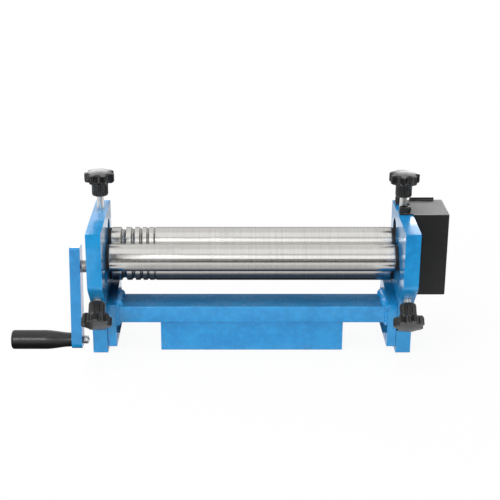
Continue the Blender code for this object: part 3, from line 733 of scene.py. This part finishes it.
def weld_round_beam(side):
    """A bead round one end of the beam: fat at the corners and on top, slimmer in front, and rippled."""
    low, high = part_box("cross_beam")
    node = f"weld_{side_words[side]}"
    plate_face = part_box(node)[1 if side > 0 else 0].x
    depth, height = high.y - low.y, high.z - low.z
    middle = Vector((0, (low.y + high.y) / 2, (low.z + high.z) / 2))
    corner = sizes().beam_corner
    up, back = Vector((0, 0, 1)), Vector((0, 1, 0))
    runs = (
        (-up, back, depth, height),
        (back, up, height, depth),
        (up, -back, depth, height),
        (-back, -up, height, depth),
    )
    turn = corner * math.pi / 2
    lengths = [length - 2 * corner + turn for _, _, length, _ in runs]
    total = sum(lengths)

    def along(u):
        """Point and outward direction at a share of the way round."""
        left = (u % 1.0) * total
        for (out, heading, length, across), stretch in zip(runs, lengths):
            if left > stretch:
                left -= stretch
                continue
            straight = length - 2 * corner
            start = middle + out * (across / 2) - heading * (straight / 2)
            if left <= straight:
                return start + heading * left, out
            angle = (left - straight) / corner
            centre = start + heading * straight - out * corner
            direction = out * math.cos(angle) + heading * math.sin(angle)
            return centre + direction * corner, direction
        return middle - up * (height / 2), -up

    def place(u, v):
        """Point of the bead's skin at a share of the way round the beam and round the bead."""
        point, out = along(u)
        corner_share = abs(out.y * out.z) * 2
        run = (u % 1.0) * total
        ripple = math.sin(2 * math.pi * run / sizes().weld_ripple)
        seed = Vector((out.y * 3 + run * 90, out.z * 3, side * 7.0))
        lump = noise.noise(seed) + 0.6 * noise.noise(seed * 2.7) + 0.35 * noise.noise(seed * 6.1)
        slim = max(0.0, -out.y) * 0.36 + max(0.0, -out.z) * 0.2
        fat = 0.10 * corner_share + max(0.0, out.z) * 0.35
        radius = sizes().weld_radius * (1 + fat + 0.55 * lump * (1 - slim) - slim)
        angle = 2 * math.pi * v
        radius *= 1 + 0.20 * ripple * (1 - 2 * slim) * max(0.0, math.cos(angle - math.pi / 4))
        inward = -side * (radius * (0.25 + math.cos(angle)))
        return Vector((plate_face + inward, 0, 0)) + point + out * (radius * (0.15 + math.sin(angle)))

    # The whole bead is marked as rim, so the enamel paints it a little paler: a painted highlight.
    soup = mark(sheet_of(190, 14, place), "rim", lambda face: True, 0.3)
    return made(node, soup, "enamel")


class SLIPROLL_OT_welds(bpy.types.Operator):
    """Weld beads round the beam's ends and behind the vise bar"""

    bl_idname = "slip_roll.welds"
    bl_label = "Welds"

    def execute(self, context):
        for side in side_words:
            weld_round_beam(side)
        low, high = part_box("weld_bar")
        centre = (low + high) / 2
        length = high.x - low.x

        def place(u, v):
            """Point of the bead's skin at a share of its length and of the way round."""
            run = (u - 0.5) * length
            ripple = math.sin(2 * math.pi * run / sizes().weld_ripple)
            lump = noise.noise(Vector((run * 80, 2.5, 0.3)))
            end = math.sqrt(max(0.0, 1 - (2 * u - 1) ** 40))
            radius = (high.z - low.z) / 2 * (1 + 0.08 * ripple + 0.16 * lump) * end
            angle = 2 * math.pi * v
            return centre + Vector((run, radius * math.cos(angle), radius * math.sin(angle)))

        made("weld_bar", sheet_of(300, 12, place), "enamel")
        return {"FINISHED"}


def roller_profile(node, radius, half, geared):
    """Radius and X of a roller with its journals, from left to right.

    The geared rollers have wire grooves at the left and the bore of a gear's screw at the right.
    """
    low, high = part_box(node)
    edge = 0.0006
    groove_steps = 8
    points = [
        (0, low.x),
        (journal_radius - edge, low.x),
        (journal_radius, low.x + edge),
        (journal_radius, -half),
        (radius - edge, -half),
        (radius - edge / 3, -half + edge / 3),
        (radius, -half + edge),
    ]
    if geared:
        for width, place in zip(wire_widths, wire_places):
            reach = width / 2
            for i in range(groove_steps + 1):
                angle = math.pi * i / groove_steps
                points.append((radius - reach * math.sin(angle), place - half - reach * math.cos(angle)))
    points += [
        (radius, half - edge),
        (radius - edge / 3, half - edge / 3),
        (radius - edge, half),
        (journal_radius, half),
        (journal_radius, high.x - edge),
        (journal_radius - edge, high.x),
    ]
    if geared:
        bore_end = high.x - gear_screw_bore_depth
        points += [(gear_screw_bore, high.x), (gear_screw_bore, bore_end), (0, bore_end)]
    else:
        points.append((0, high.x))
    return points


class SLIPROLL_OT_rollers(bpy.types.Operator):
    """The three rollers, ground and polished, two of them with wire grooves"""

    bl_idname = "slip_roll.rollers"
    bl_label = "Rollers"

    land_edge: length_property("Land edge", "Rounding of the edges beside the wire grooves", 0.00035)

    def execute(self, context):
        low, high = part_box("bending_roller")
        radius = (high.z - low.z) / 2
        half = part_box("upper_washer_right")[0].x - running_gap
        groove_margin = 0.0004
        end_margin = 0.002

        def on_barrel(edge):
            return edge.verts[0].co.xy.length > journal_radius * 1.5

        def on_journal(face):
            return all(point.co.xy.length < journal_radius + merge_distance for point in face.verts)

        def in_groove(face):
            deepest = min(point.co.xy.length for point in face.verts)
            inside = abs(face.calc_center_median().z) < half - end_margin
            return inside and deepest < radius - groove_margin

        for word in roller_words:
            node = f"{word}_roller"
            geared = word != "bending"
            soup = turned(roller_profile(node, radius, half, geared), sizes().roller_steps)
            round_edges(soup, self.land_edge, 2, on_barrel)
            mark(soup, "journal", on_journal)
            mark(soup, "groove", in_groove)
            lay(soup, f"{word}_washer_left")
            made(node, soup, "ground_steel", *([self.keyway(word)] if geared else []))
        return {"FINISHED"}

    def keyway(self, word):
        """The slot of a gear's key, with a little room inwards and open at the roller's end."""
        low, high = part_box(f"{word}_key")
        inward = Vector((0.001, running_gap, running_gap))
        outward = Vector((0.004, running_gap, running_gap))
        return cuboid(low - inward, high + outward)


class SLIPROLL_OT_washers(bpy.types.Operator):
    """Black thrust washers at the rollers' ends"""

    bl_idname = "slip_roll.washers"
    bl_label = "Washers"

    def execute(self, context):
        for word in roller_words:
            for side in side_words.values():
                node = f"{word}_washer_{side}"
                ring(node, "oxide", journal_radius + running_gap, sizes().fine_edge * 1.5, 3)
        return {"FINISHED"}


class SLIPROLL_OT_bearings(bpy.types.Operator):
    """Sliding blocks and bushes with eased edges"""

    bl_idname = "slip_roll.bearings"
    bl_label = "Bearings"

    def execute(self, context):
        edge = sizes().fine_edge * 2
        for side in side_words.values():
            eased(f"upper_block_{side}", "dark_steel", edge, 2)
            eased(f"bend_block_{side}", "dark_steel", edge, 2)
            ring(f"lower_bush_{side}", "bronze", journal_radius + running_gap, edge, 2)
        return {"FINISHED"}


def threaded(low, high, plain_from, radius, pitch, depth, steps=40):
    """A rod from low to high, with a thread below plain_from that starts tapered and fades out."""
    rings_per_turn, crest_width, fade_turns, taper_turns = 8, 1.6, 1.5, 1.2
    rings = int((plain_from - low) / pitch * rings_per_turn)
    spacing = (plain_from - low) / rings
    profile = [(0, low), (radius - depth, low)]
    profile += [(radius, low + spacing * (i + 0.5)) for i in range(rings)]
    profile += [(radius, plain_from + spacing), (radius, high - depth), (radius - depth, high), (0, high)]
    soup = turned(profile, steps)
    for point in soup.verts:
        out = point.co.xy.length
        if out < radius - depth / 2 or point.co.z > plain_from:
            continue
        turn = math.atan2(point.co.y, point.co.x) / (2 * math.pi)
        phase = (point.co.z / pitch - turn) % 1.0
        crest = min(1.0, crest_width * (1 - abs(2 * phase - 1)))
        fade = min(1.0, (plain_from - point.co.z) / (fade_turns * pitch))
        taper = max(0.0, 1 - (point.co.z - low) / (taper_turns * pitch))
        cut = depth * max((1 - crest) * fade, taper)
        point.co.xy *= (radius - cut) / out
    return soup


def star_radius(angle, radius, lobes, valley_radius, valley_depth, softness):
    """Radius of a star knob's rim, with round finger valleys."""
    pitch = 2 * math.pi / lobes
    lobe_steepness = 2.5
    offset = abs((angle % pitch) - pitch / 2)
    distance = radius - valley_depth + valley_radius
    edge = math.asin(valley_radius / distance)
    if offset < edge:
        chord = math.sqrt(valley_radius ** 2 - (distance * math.sin(offset)) ** 2)
        valley = distance * math.cos(offset) - chord
    else:
        valley = distance * math.cos(edge) + (offset - edge) * radius * lobe_steepness
    blend = max(softness - abs(radius - valley), 0) / softness
    return min(radius, valley) - blend * blend * softness / 4


def star_knob(height):
    """A seven-lobed knob about Z: ribbed hub, ribbed rim and low dome, with a bore in the hub."""
    hub, hub_length = 0.0093, 0.0157
    radius, rim_height = 0.01715, 0.0102
    lobes, rib_count, hub_rib_count, steps_per_lobe = 7, 42, 21, 28
    valley_radius, valley_depth, valley_softness = 0.0052, 0.0044, 0.0008
    rim_low, rim_high = hub_length, hub_length + rim_height
    sides_end = rim_high - 0.0002
    dome = height - rim_high
    quarter = math.pi / 2
    bore, bore_depth = screw_radius + running_gap, screw_in_knob + running_gap
    profile = [(0, bore_depth), (bore, bore_depth), (bore, 0.0006), (bore + 0.0006, 0)]
    profile += [(hub - 0.0018, 0), (hub - 0.0006, 0.0005), (hub, 0.0018), (hub, 0.006), (hub, 0.011)]
    profile += [(hub + 0.0002, rim_low - 0.0012), (hub + 0.0010, rim_low - 0.0002), (hub + 0.0030, rim_low)]
    profile += [(radius - 0.0022, rim_low), (radius - 0.0012, rim_low + 0.0003)]
    profile += [(radius - 0.0004, rim_low + 0.0010), (radius, rim_low + 0.0022)]
    profile += [(radius, rim_low + rim_height * share) for share in (0.4, 0.6, 0.8, 0.93)]
    for share in (0.985, 0.95, 0.88, 0.78, 0.64, 0.48, 0.32, 0.16):
        profile.append((radius * share, rim_high + dome * math.cos(quarter * share)))
    profile.append((0, height))
    soup = turned(profile, lobes * steps_per_lobe)
    for point in soup.verts:
        out = point.co.xy.length
        if out < merge_distance:
            continue
        angle = math.atan2(point.co.x, -point.co.y)
        rib = 0.5 + 0.5 * math.cos(rib_count * angle)
        hub_rib = 0.5 + 0.5 * math.cos(hub_rib_count * angle)
        if point.co.z <= rim_low - 0.0001:
            if out > hub - 0.0002 and point.co.z > 0.001:
                point.co.xy *= 1 - sizes().knob_rib * 0.9 * (1 - hub_rib) ** 2 / out
            continue
        share = min(1.0, max(0.0, (out - hub - 0.0012) / (radius - hub - 0.0024)))
        star = star_radius(angle, radius, lobes, valley_radius, valley_depth, valley_softness)
        scale = 1 + (star / radius - 1) * (share if point.co.z < rim_low + 0.0004 else 1)
        if rim_low + 0.0008 < point.co.z < sides_end:
            lobe = min(1.0, max(0.0, (star - radius + 0.0030) / 0.0018))
            scale -= sizes().knob_rib * lobe * (1 - rib) ** 2 / out
        point.co.xy *= scale
        if point.co.z > sides_end:
            reach = point.co.xy.length / radius
            point.co.z = rim_high + dome * math.cos(quarter * min(1.0, reach))
    # The dome's faces are marked so that the plastic paints them paler, a painted sheen.
    return mark(soup, "dome", lambda face: face.calc_center_median().z > rim_high - merge_distance)


class SLIPROLL_OT_adjusters(bpy.types.Operator):
    """Star knobs and their threaded adjusting screws"""

    bl_idname = "slip_roll.adjusters"
    bl_label = "Adjusters"

    top_left_turn: angle_property("Top left turn", "Turn of the top left knob", 21)
    top_right_turn: angle_property("Top right turn", "Turn of the top right knob", -10)
    front_left_turn: angle_property("Front left turn", "Turn of the front left knob", 25.7)
    front_right_turn: angle_property("Front right turn", "Turn of the front right knob", 12)

    def execute(self, context):
        knob_low, knob_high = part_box("top_knob_left")
        plate_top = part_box("side_plate_left")[1].z
        thread_under_plate, thread_under_knob = 0.0005, 0.0010
        turns = {
            "top_left": self.top_left_turn,
            "top_right": self.top_right_turn,
            "front_left": self.front_left_turn,
            "front_right": self.front_right_turn,
        }
        for place, angle in turns.items():
            end, word = place.split("_")
            low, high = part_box(f"{end}_screw_{word}")
            if end == "top":
                length = high.z - low.z
                axis, turn = Vector((0, 0, 1)), Matrix.Identity(4)
            else:
                length = (high.y - low.y) / diagonal.y - 2 * screw_radius
                axis, turn = -diagonal, down_forward
            hub_end = (low + high) / 2 + axis * (length / 2 - screw_in_knob)
            stand = Matrix.Translation(hub_end) @ turn
            plain_from = plate_top - hub_end.z - thread_under_plate if end == "top" else -thread_under_knob
            rod = threaded(
                screw_in_knob - length, screw_in_knob, plain_from, screw_radius,
                sizes().thread_pitch, sizes().thread_depth,
            )
            made(f"{end}_screw_{word}", put(rod, stand), "zinc")
            spin = Matrix.Rotation(angle, 4, "Z")
            knob = star_knob(knob_high.z - knob_low.z)
            made(f"{end}_knob_{word}", put(knob, stand @ spin), "plastic")
        return {"FINISHED"}


class SLIPROLL_OT_gears(bpy.types.Operator):
    """Gears, keys and their washers, with broken edges"""

    bl_idname = "slip_roll.gears"
    bl_label = "Gears"

    def execute(self, context):
        edge = sizes().fine_edge
        for word in ("lower", "upper"):
            eased(f"{word}_gear", "dark_steel", edge, 1)
            eased(f"{word}_key", "dark_steel", edge / 2, 1)
            ring(f"{word}_gear_washer", "zinc", gear_screw_bore, edge, 2, steps=48)
        return {"FINISHED"}


def cap_screw(node, matrix, shank, length, head, head_height):
    """A socket-head screw with a knurled head, its seat at the matrix's origin."""
    edge, knurls, knurl_depth = 0.0006, 36, 0.00022
    socket_radius, socket_depth = head * 0.52, head_height * 0.55
    knurl_rows = [0.0009 + (head_height - 0.0020) * i / 3 for i in range(4)]
    profile = [(0, head_height), (head - 0.0014, head_height), (head - 0.0007, head_height - 0.0002)]
    profile.append((head - 0.0002, head_height - 0.0007))
    profile += [(head, row) for row in reversed(knurl_rows)]
    profile += [(head - 0.0002, 0.0003), (head - 0.0005, 0), (shank, 0)]
    profile += [(shank, edge - length), (shank - edge, -length), (0, -length)]
    soup = turned(profile, knurls * 2)
    for point in soup.verts:
        out = point.co.xy.length
        if out > head - merge_distance:
            step = round(math.atan2(point.co.y, point.co.x) / math.pi * knurls)
            if step % 2:
                point.co.xy *= 1 - knurl_depth / out
    socket = bmesh.new()
    bmesh.ops.create_cone(
        socket, cap_ends=True, segments=6, radius1=socket_radius, radius2=socket_radius,
        depth=2 * socket_depth, matrix=Matrix.Translation((0, 0, head_height)),
    )
    return made(node, put(soup, matrix), "oxide", put(socket, matrix))


class SLIPROLL_OT_screws(bpy.types.Operator):
    """Socket-head screws of the frame, the gears and the gear cover"""

    bl_idname = "slip_roll.screws"
    bl_label = "Screws"

    def execute(self, context):
        screws = []
        for side, word in side_words.items():
            screws += [(f"frame_screw_{word}_{end}", side, frame_head_height) for end in ("front", "rear")]
        screws += [(f"{word}_gear_screw", 1, gear_head_height) for word in ("lower", "upper")]
        for node, side, head_height in screws:
            low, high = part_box(node)
            seat = high.x - head_height if side > 0 else low.x + head_height
            turn = along_x if side > 0 else against_x
            matrix = Matrix.Translation((seat, *axis_of(node))) @ turn
            length, head = high.x - low.x - head_height, (high.z - low.z) / 2
            cap_screw(node, matrix, small_shank, length, head, head_height)
        for end in ("front", "rear"):
            node = f"cover_screw_{end}"
            low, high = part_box(node)
            middle = (low + high) / 2
            matrix = Matrix.Translation((middle.x, middle.y, high.z - cover_head_height))
            length, head = high.z - low.z - cover_head_height, (high.y - low.y) / 2
            cap_screw(node, matrix, screw_radius, length, head, cover_head_height)
        return {"FINISHED"}


class SLIPROLL_OT_cover(bpy.types.Operator):
    """Folded sheet cover over the gears"""

    bl_idname = "slip_roll.cover"
    bl_label = "Gear cover"

    hole_radius: length_property("Hole radius", "Radius of the small hole in the rear ear", 0.0010)
    hole_inward: length_property("Hole inward", "Distance of the hole inside the plate's face", 0.0020)
    hole_from_rear: length_property("Hole from rear", "Distance of the hole from the cover's rear", 0.0128)

    def execute(self, context):
        low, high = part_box("gear_cover")
        plate_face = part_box("side_plate_right")[1].x
        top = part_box("cover_screw_front")[1].z - cover_head_height - running_gap
        soup = copy_of("gear_cover")
        limits = ((1, low.y), (1, high.y), (2, low.z), (2, top), (0, high.x))

        def fold(edge):
            """Whether an edge is where two of the box's outer walls meet."""
            ends = [point.co for point in edge.verts]
            if min(end.x for end in ends) < plate_face - merge_distance:
                return False
            planes = [(i, at) for i, at in limits if all(abs(end[i] - at) < merge_distance for end in ends)]
            return len(planes) == 2

        round_edges(soup, sizes().sheet_fold, 4, fold)
        round_edges(soup, sizes().fine_edge, 1)
        hole = bmesh.new()
        centre = (plate_face - self.hole_inward, high.y - self.hole_from_rear, top)
        bmesh.ops.create_cone(
            hole, cap_ends=True, segments=24, radius1=self.hole_radius, radius2=self.hole_radius,
            depth=0.01, matrix=Matrix.Translation(centre),
        )
        made("gear_cover", soup, "powder", hole)
        return {"FINISHED"}


class SLIPROLL_OT_crank(bpy.types.Operator):
    """Crank arm, grip, spindle and nut"""

    bl_idname = "slip_roll.crank"
    bl_label = "Crank"

    def execute(self, context):
        eased("crank_arm", "enamel", sizes().plate_edge, 3)
        eased("crank_set_screw", "oxide", sizes().fine_edge / 2, 1)
        eased("handle_nut", "dull_zinc", sizes().fine_edge * 2, 2)
        self.grip()
        self.spindle()
        return {"FINISHED"}

    def grip(self):
        """A turned grip with a round rim, a long belly and a slim neck, bored for its spindle."""
        low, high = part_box("grip")
        spindle_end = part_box("handle_spindle")[0].x
        belly = (high.z - low.z) / 2
        neck, rim, taper = 0.00825, 0.0030, (high.x - low.x) * 0.45
        bore, chamber, chamber_end = 0.0043, 0.0058, spindle_end + 0.0036
        rim_steps, taper_steps = 8, 20
        profile = [(0, low.x)]
        for i in range(rim_steps + 1):
            angle = math.pi / 2 * i / rim_steps
            profile.append((belly - rim + rim * math.sin(angle), low.x + rim - rim * math.cos(angle)))
        for i in range(1, taper_steps + 1):
            share = i / taper_steps
            swell = (1 + math.cos(math.pi * share)) / 2
            profile.append((neck + (belly - neck) * swell, high.x - taper * (1 - share)))
        profile += [(neck - 0.0005, high.x), (bore, high.x), (bore, chamber_end), (chamber, chamber_end)]
        profile += [(chamber, spindle_end - running_gap), (0, spindle_end - running_gap)]
        made("grip", lay(turned(profile, 80), "grip"), "grip_plastic")

    def spindle(self):
        """The spindle in the grip, with a thread through the arm and the nut."""
        low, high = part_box("handle_spindle")
        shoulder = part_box("crank_arm")[0].x - running_gap
        length, plain = high.x - shoulder, 0.001
        thread, pitch, depth = 0.0025, 0.0008, 0.0004
        shank, head, head_end, edge = 0.004, 0.0055, low.x + 0.003, 0.0004
        soup = threaded(0, length, length - plain, thread, pitch, depth, 28)
        put(soup, Matrix.Translation((high.x, *axis_of("handle_spindle"))) @ against_x)
        profile = [(0, low.x), (head - edge, low.x), (head, low.x + edge), (head, head_end)]
        profile += [(shank, head_end), (shank, shoulder), (thread, shoulder), (0, shoulder)]
        body = lay(turned(profile, 40), "handle_spindle")
        mesh = bpy.data.meshes.new("spindle_body")
        body.to_mesh(mesh)
        body.free()
        soup.from_mesh(mesh)
        bpy.data.meshes.remove(mesh)
        made("handle_spindle", soup, "zinc")


def bench_white(tone, near_share, in_gloss):
    """A matt pale bench that turns white for the camera away from the object, and part white in gloss."""
    surface = Finish("bench_white", Roughness=0.9, Specular_IOR_Level=0.0)
    grain = surface.noise(30, detail=2)
    surface.set("Base Color", surface.blend(grain, shade(tone, 0.98), tone))
    paint = Value(surface, surface.shader.outputs[0])
    white = surface.node("ShaderNodeEmission", None, {"Color": (1, 1, 1, 1), "Strength": 1.0})
    seen, glossy, through = [
        surface.node("ShaderNodeLightPath", output=f"Is {kind} Ray")
        for kind in ("Camera", "Glossy", "Transmission")
    ]
    distance = surface.node("ShaderNodeVectorMath", {"operation": "LENGTH"}, {0: surface.place()}, "Value")
    share = near_share + distance.between(0.25, 0.75) * (1 - near_share)
    factor = seen * share + (glossy + through) * in_gloss
    surface.end_in(surface.node("ShaderNodeMixShader", None, {0: factor, 1: paint, 2: white}))
    return surface.material


# Wide cards round the front, top and rear of the studio: name, elevations in degrees from the front,
# X from and to, strength
reflector_cards = (
    ("card_dark", -9.5, 7.5, -0.56, 4.5, 0.13),
    ("card_low", 10, 33, -4.5, 4.5, 1.30),
    ("card_gap", 37, 50, -4.5, 4.5, 0.62),
    ("card_high", 53, 88, -0.8, 1.0, 1.10),
    ("card_high_left", 53, 88, -4.5, -0.82, 0.10),
    ("card_high_right", 53, 88, 1.02, 4.5, 0.10),
    ("card_over", 93, 148, -4.5, 4.5, 0.84),
    ("card_rear", 150, 178, -4.5, 4.5, 0.55),
)

# Upright cards: name, X from and to, Y, Z from and to, strength
close_cards = (
    ("card_knob_left", -0.203, -0.160, 0.10, 0.205, 0.245, 4.0),
    ("card_knob_right", 0.164, 0.202, 0.10, 0.205, 0.245, 3.9),
    ("card_left_end", -0.235, -0.1555, -0.16, 0.099, 0.30, 0.02),
    ("card_plate_left", -0.222, -0.193, 0.33, 0.20, 0.30, 1.3),
    ("card_plate_right", 0.204, 0.223, 0.33, 0.20, 0.30, 1.1),
    ("card_end_left", -0.193, -0.172, 0.33, 0.20, 0.30, 0.08),
    ("card_end_right", 0.184, 0.204, 0.33, 0.20, 0.30, 0.08),
    ("card_side_left", -3.0, -0.75, -1.6, -0.2, 2.6, 0.05),
    ("card_side_right", 0.9, 2.4, -1.6, -0.2, 2.6, 0.05),
    ("card_cover", 0.224, 0.31, 0.33, 0.20, 0.276, 7.2),
    ("card_horizon", -0.20, 0.20, 0.33, 0.045, 0.145, 0.6),
    ("card_crank", -0.2515, -0.234, 0.33, 0.105, 0.165, 7.0),
    ("card_grip", -0.95, -0.56, -2.2, 1.12, 1.62, 22.0),
)

# Cards that lie flat: name, X from and to, Y from and to, Z, colour. The floor cards glow in place of the
# floor in
# reflections, with a painted shadow: the nearer card is darker. The beam cards are painted shade, dark
# sheets over the beam's top that stand for its shade under the rollers in their reflections. The screens
# keep the cards behind the knobs out of the rollers.
flat_cards = (
    ("card_floor", -0.152, 0.152, -0.17, -0.10, 0.001, (0.80, 0.80, 0.80)),
    ("shade_card_floor_near", -0.152, 0.152, -0.10, -0.02, 0.001, (0.58, 0.58, 0.58)),
    ("shade_card_beam_front", -0.152, 0.152, -0.0105, 0.005, 0.0566, (0.26, 0.27, 0.28)),
    ("shade_card_beam", -0.152, 0.152, 0.005, 0.0305, 0.0566, (0.040, 0.060, 0.095)),
    ("card_screen_left", -0.207, -0.148, 0.063, 0.10, 0.195, (0.70, 0.70, 0.70)),
    ("card_screen_right", 0.148, 0.207, 0.063, 0.10, 0.195, (0.70, 0.70, 0.70)),
)


def only_in_reflections(item):
    """Keep a card of the studio out of the picture and out of the light and shade."""
    item.visible_camera = False
    item.visible_diffuse = False
    item.visible_shadow = False


class SLIPROLL_OT_stage(bpy.types.Operator):
    """A pale bench, soft lamps, a white surround and the camera"""

    bl_idname = "slip_roll.stage"
    bl_label = "Stage"

    def execute(self, context):
        studio = context.scene.slip_roll_studio
        context.scene.view_settings.view_transform = "Standard"
        self.bench(studio)
        self.flag(studio)
        for name, low, high, left, right, strength in reflector_cards:
            self.card(name, math.radians(low), math.radians(high), left, right, strength)
        thick, thin = 0.002, 0.0002
        for name, left, right, near, bottom, top, strength in close_cards:
            self.glowing(name, cuboid((left, near, bottom), (right, near + thick, top)), strength)
        for name, left, right, near, far, height, colour in flat_cards:
            self.glowing(name, cuboid((left, near, height), (right, far, height + thin)), 1.0, colour)
        self.surround(context, studio)
        self.lamp("front_lamp", (-0.95, -1.35, 0.8), (0, 0, 0.08), (0.9, 0.6), studio.front_power)
        self.lamp("top_lamp", (-0.2, -0.15, 1.7), (0, 0, 0.1), (1.6, 1.3), studio.top_power)
        self.lamp("rear_lamp", (0.1, 2.0, 1.0), (0, 0, 0.1), (2.2, 0.8), studio.rear_power)
        self.camera(context, studio)
        return {"FINISHED"}

    def bench(self, studio):
        """A thick pale slab whose edge leaves room for the crank."""
        near, far, right, thickness, edge = -1.1, 4.2, 2.6, 0.05, 0.002
        soup = cuboid((studio.bench_edge, near, -thickness), (right, far, 0))
        slab = mesh_object("bench", round_edges(soup, edge, 2))
        slab.data.materials.append(bench_white(tone=(0.78, 0.78, 0.78), near_share=0.93, in_gloss=0.35))

    def flag(self, studio):
        """Dark cards that lie flat and only show in reflections, as dark bands."""
        dark = Finish("flag_cloth", Roughness=0.9, Specular_IOR_Level=0.0)
        weave = dark.noise(400, detail=2)
        dark.set("Base Color", dark.blend(weave, (0.02, 0.02, 0.02), (0.04, 0.04, 0.04)))
        strips = {
            "flag": (-0.205, 1.6, studio.flag_front, studio.flag_rear, 0.005),
            # Painted shadow: a dark card under the machine, behind the beam, stands for the machine's
            # shadow on the floor in the rollers' reflections.
            "shadow_flag_behind": (-0.165, 0.165, 0.033, 0.17, 0.005),
            "flag_grip": (-0.9, -0.19, -0.24, 0.30, -0.09),
        }
        half_thickness = 0.001
        for name, (left, right, near, far, height) in strips.items():
            low, high = (left, near, height - half_thickness), (right, far, height + half_thickness)
            card = mesh_object(name, cuboid(low, high))
            card.data.materials.append(dark.material)
            only_in_reflections(card)

    def card(self, name, low, high, left, right, strength):
        """A wide glowing card far off, between two elevations."""
        distance, height = 3.2, 0.1
        middle = (low + high) / 2
        half = distance * math.tan((high - low) / 2)
        soup = bmesh.new()
        bmesh.ops.create_grid(soup, x_segments=1, y_segments=1, size=1)
        bmesh.ops.scale(soup, vec=((right - left) / 2, half, 1), verts=soup.verts)
        put(soup, Matrix.Rotation(math.pi / 2 - middle, 4, "X"))
        away = Vector((0, -math.cos(middle), math.sin(middle))) * distance
        put(soup, Matrix.Translation(away + Vector(((left + right) / 2, 0, height))))
        self.glowing(name, soup, strength)

    def glowing(self, name, soup, strength, colour=(1, 1, 1)):
        """A glowing card from a soup, that only shows in reflections."""
        item = mesh_object(name, soup)
        glow = Finish(name)
        light = glow.node("ShaderNodeEmission", None, {"Color": (*colour, 1), "Strength": strength})
        glow.end_in(light)
        item.data.materials.append(glow.material)
        only_in_reflections(item)

    def surround(self, context, studio):
        """White to the camera and in reflections, softer as a light."""
        world = bpy.data.worlds.new("white_surround")
        context.scene.world = world
        world.use_nodes = True
        tree = world.node_tree
        background = tree.nodes["Background"]
        background.inputs["Color"].default_value = (1, 1, 1, 1)
        path = tree.nodes.new("ShaderNodeLightPath")
        light = tree.nodes.new("ShaderNodeMapRange")
        light.inputs["To Min"].default_value = 1.0
        light.inputs["To Max"].default_value = studio.ambient
        tree.links.new(path.outputs["Is Diffuse Ray"], light.inputs["Value"])
        tree.links.new(light.outputs["Result"], background.inputs["Strength"])

    def lamp(self, name, place, aim, size, power):
        """A soft rectangular lamp that the camera doesn't see."""
        light = bpy.data.lights.new(name, "AREA")
        light.shape = "RECTANGLE"
        light.size, light.size_y = size
        light.energy = power
        item = bpy.data.objects.new(name, light)
        bpy.context.scene.collection.objects.link(item)
        item.location = place
        item.rotation_euler = (Vector(aim) - Vector(place)).to_track_quat("-Z", "Y").to_euler()
        item.visible_camera = False
        item.visible_glossy = False

    def camera(self, context, studio):
        """The photograph's camera."""
        lens = bpy.data.cameras.new("camera")
        lens.sensor_width = 36
        lens.lens = studio.camera_lens
        lens.shift_x = studio.camera_shift
        lens.clip_start = 0.01
        camera = bpy.data.objects.new("camera", lens)
        context.scene.collection.objects.link(camera)
        camera.location = studio.camera_place
        camera.rotation_euler = (studio.camera_tilt, 0, 0)
        context.scene.camera = camera


operators = (
    SLIPROLL_OT_plates,
    SLIPROLL_OT_beam,
    SLIPROLL_OT_welds,
    SLIPROLL_OT_rollers,
    SLIPROLL_OT_washers,
    SLIPROLL_OT_bearings,
    SLIPROLL_OT_adjusters,
    SLIPROLL_OT_gears,
    SLIPROLL_OT_screws,
    SLIPROLL_OT_cover,
    SLIPROLL_OT_crank,
    SLIPROLL_OT_stage,
)


class SLIPROLL_PT_panel(bpy.types.Panel):
    """Lists the pieces in the sidebar"""

    bl_idname = "SLIPROLL_PT_panel"
    bl_label = "Slip roll"
    bl_space_type = "VIEW_3D"
    bl_region_type = "UI"
    bl_category = "Slip roll"

    def draw(self, context):
        for kind in operators:
            self.layout.operator(kind.bl_idname)


groups = {
    "slip_roll_sizes": SlipRollSizes,
    "slip_roll_colours": SlipRollColours,
    "slip_roll_studio": SlipRollStudio,
}


def register():
    """Make the sizes, the operators and the panel known."""
    for kind in (*groups.values(), *operators, SLIPROLL_PT_panel):
        bpy.utils.register_class(kind)
    for name, group in groups.items():
        setattr(bpy.types.Scene, name, PointerProperty(type=group))


def unregister():
    """Take them away again."""
    for name in groups:
        delattr(bpy.types.Scene, name)
    for kind in (SLIPROLL_PT_panel, *reversed(operators), *groups.values()):
        bpy.utils.unregister_class(kind)


def main():
    """Make the sizes known, then dress the frame, piece by piece."""
    register()
    for kind in operators:
        family, action = kind.bl_idname.split(".")
        getattr(getattr(bpy.ops, family), action)()
    bpy.context.view_layer.update()


if __name__ == "__main__":
    main()
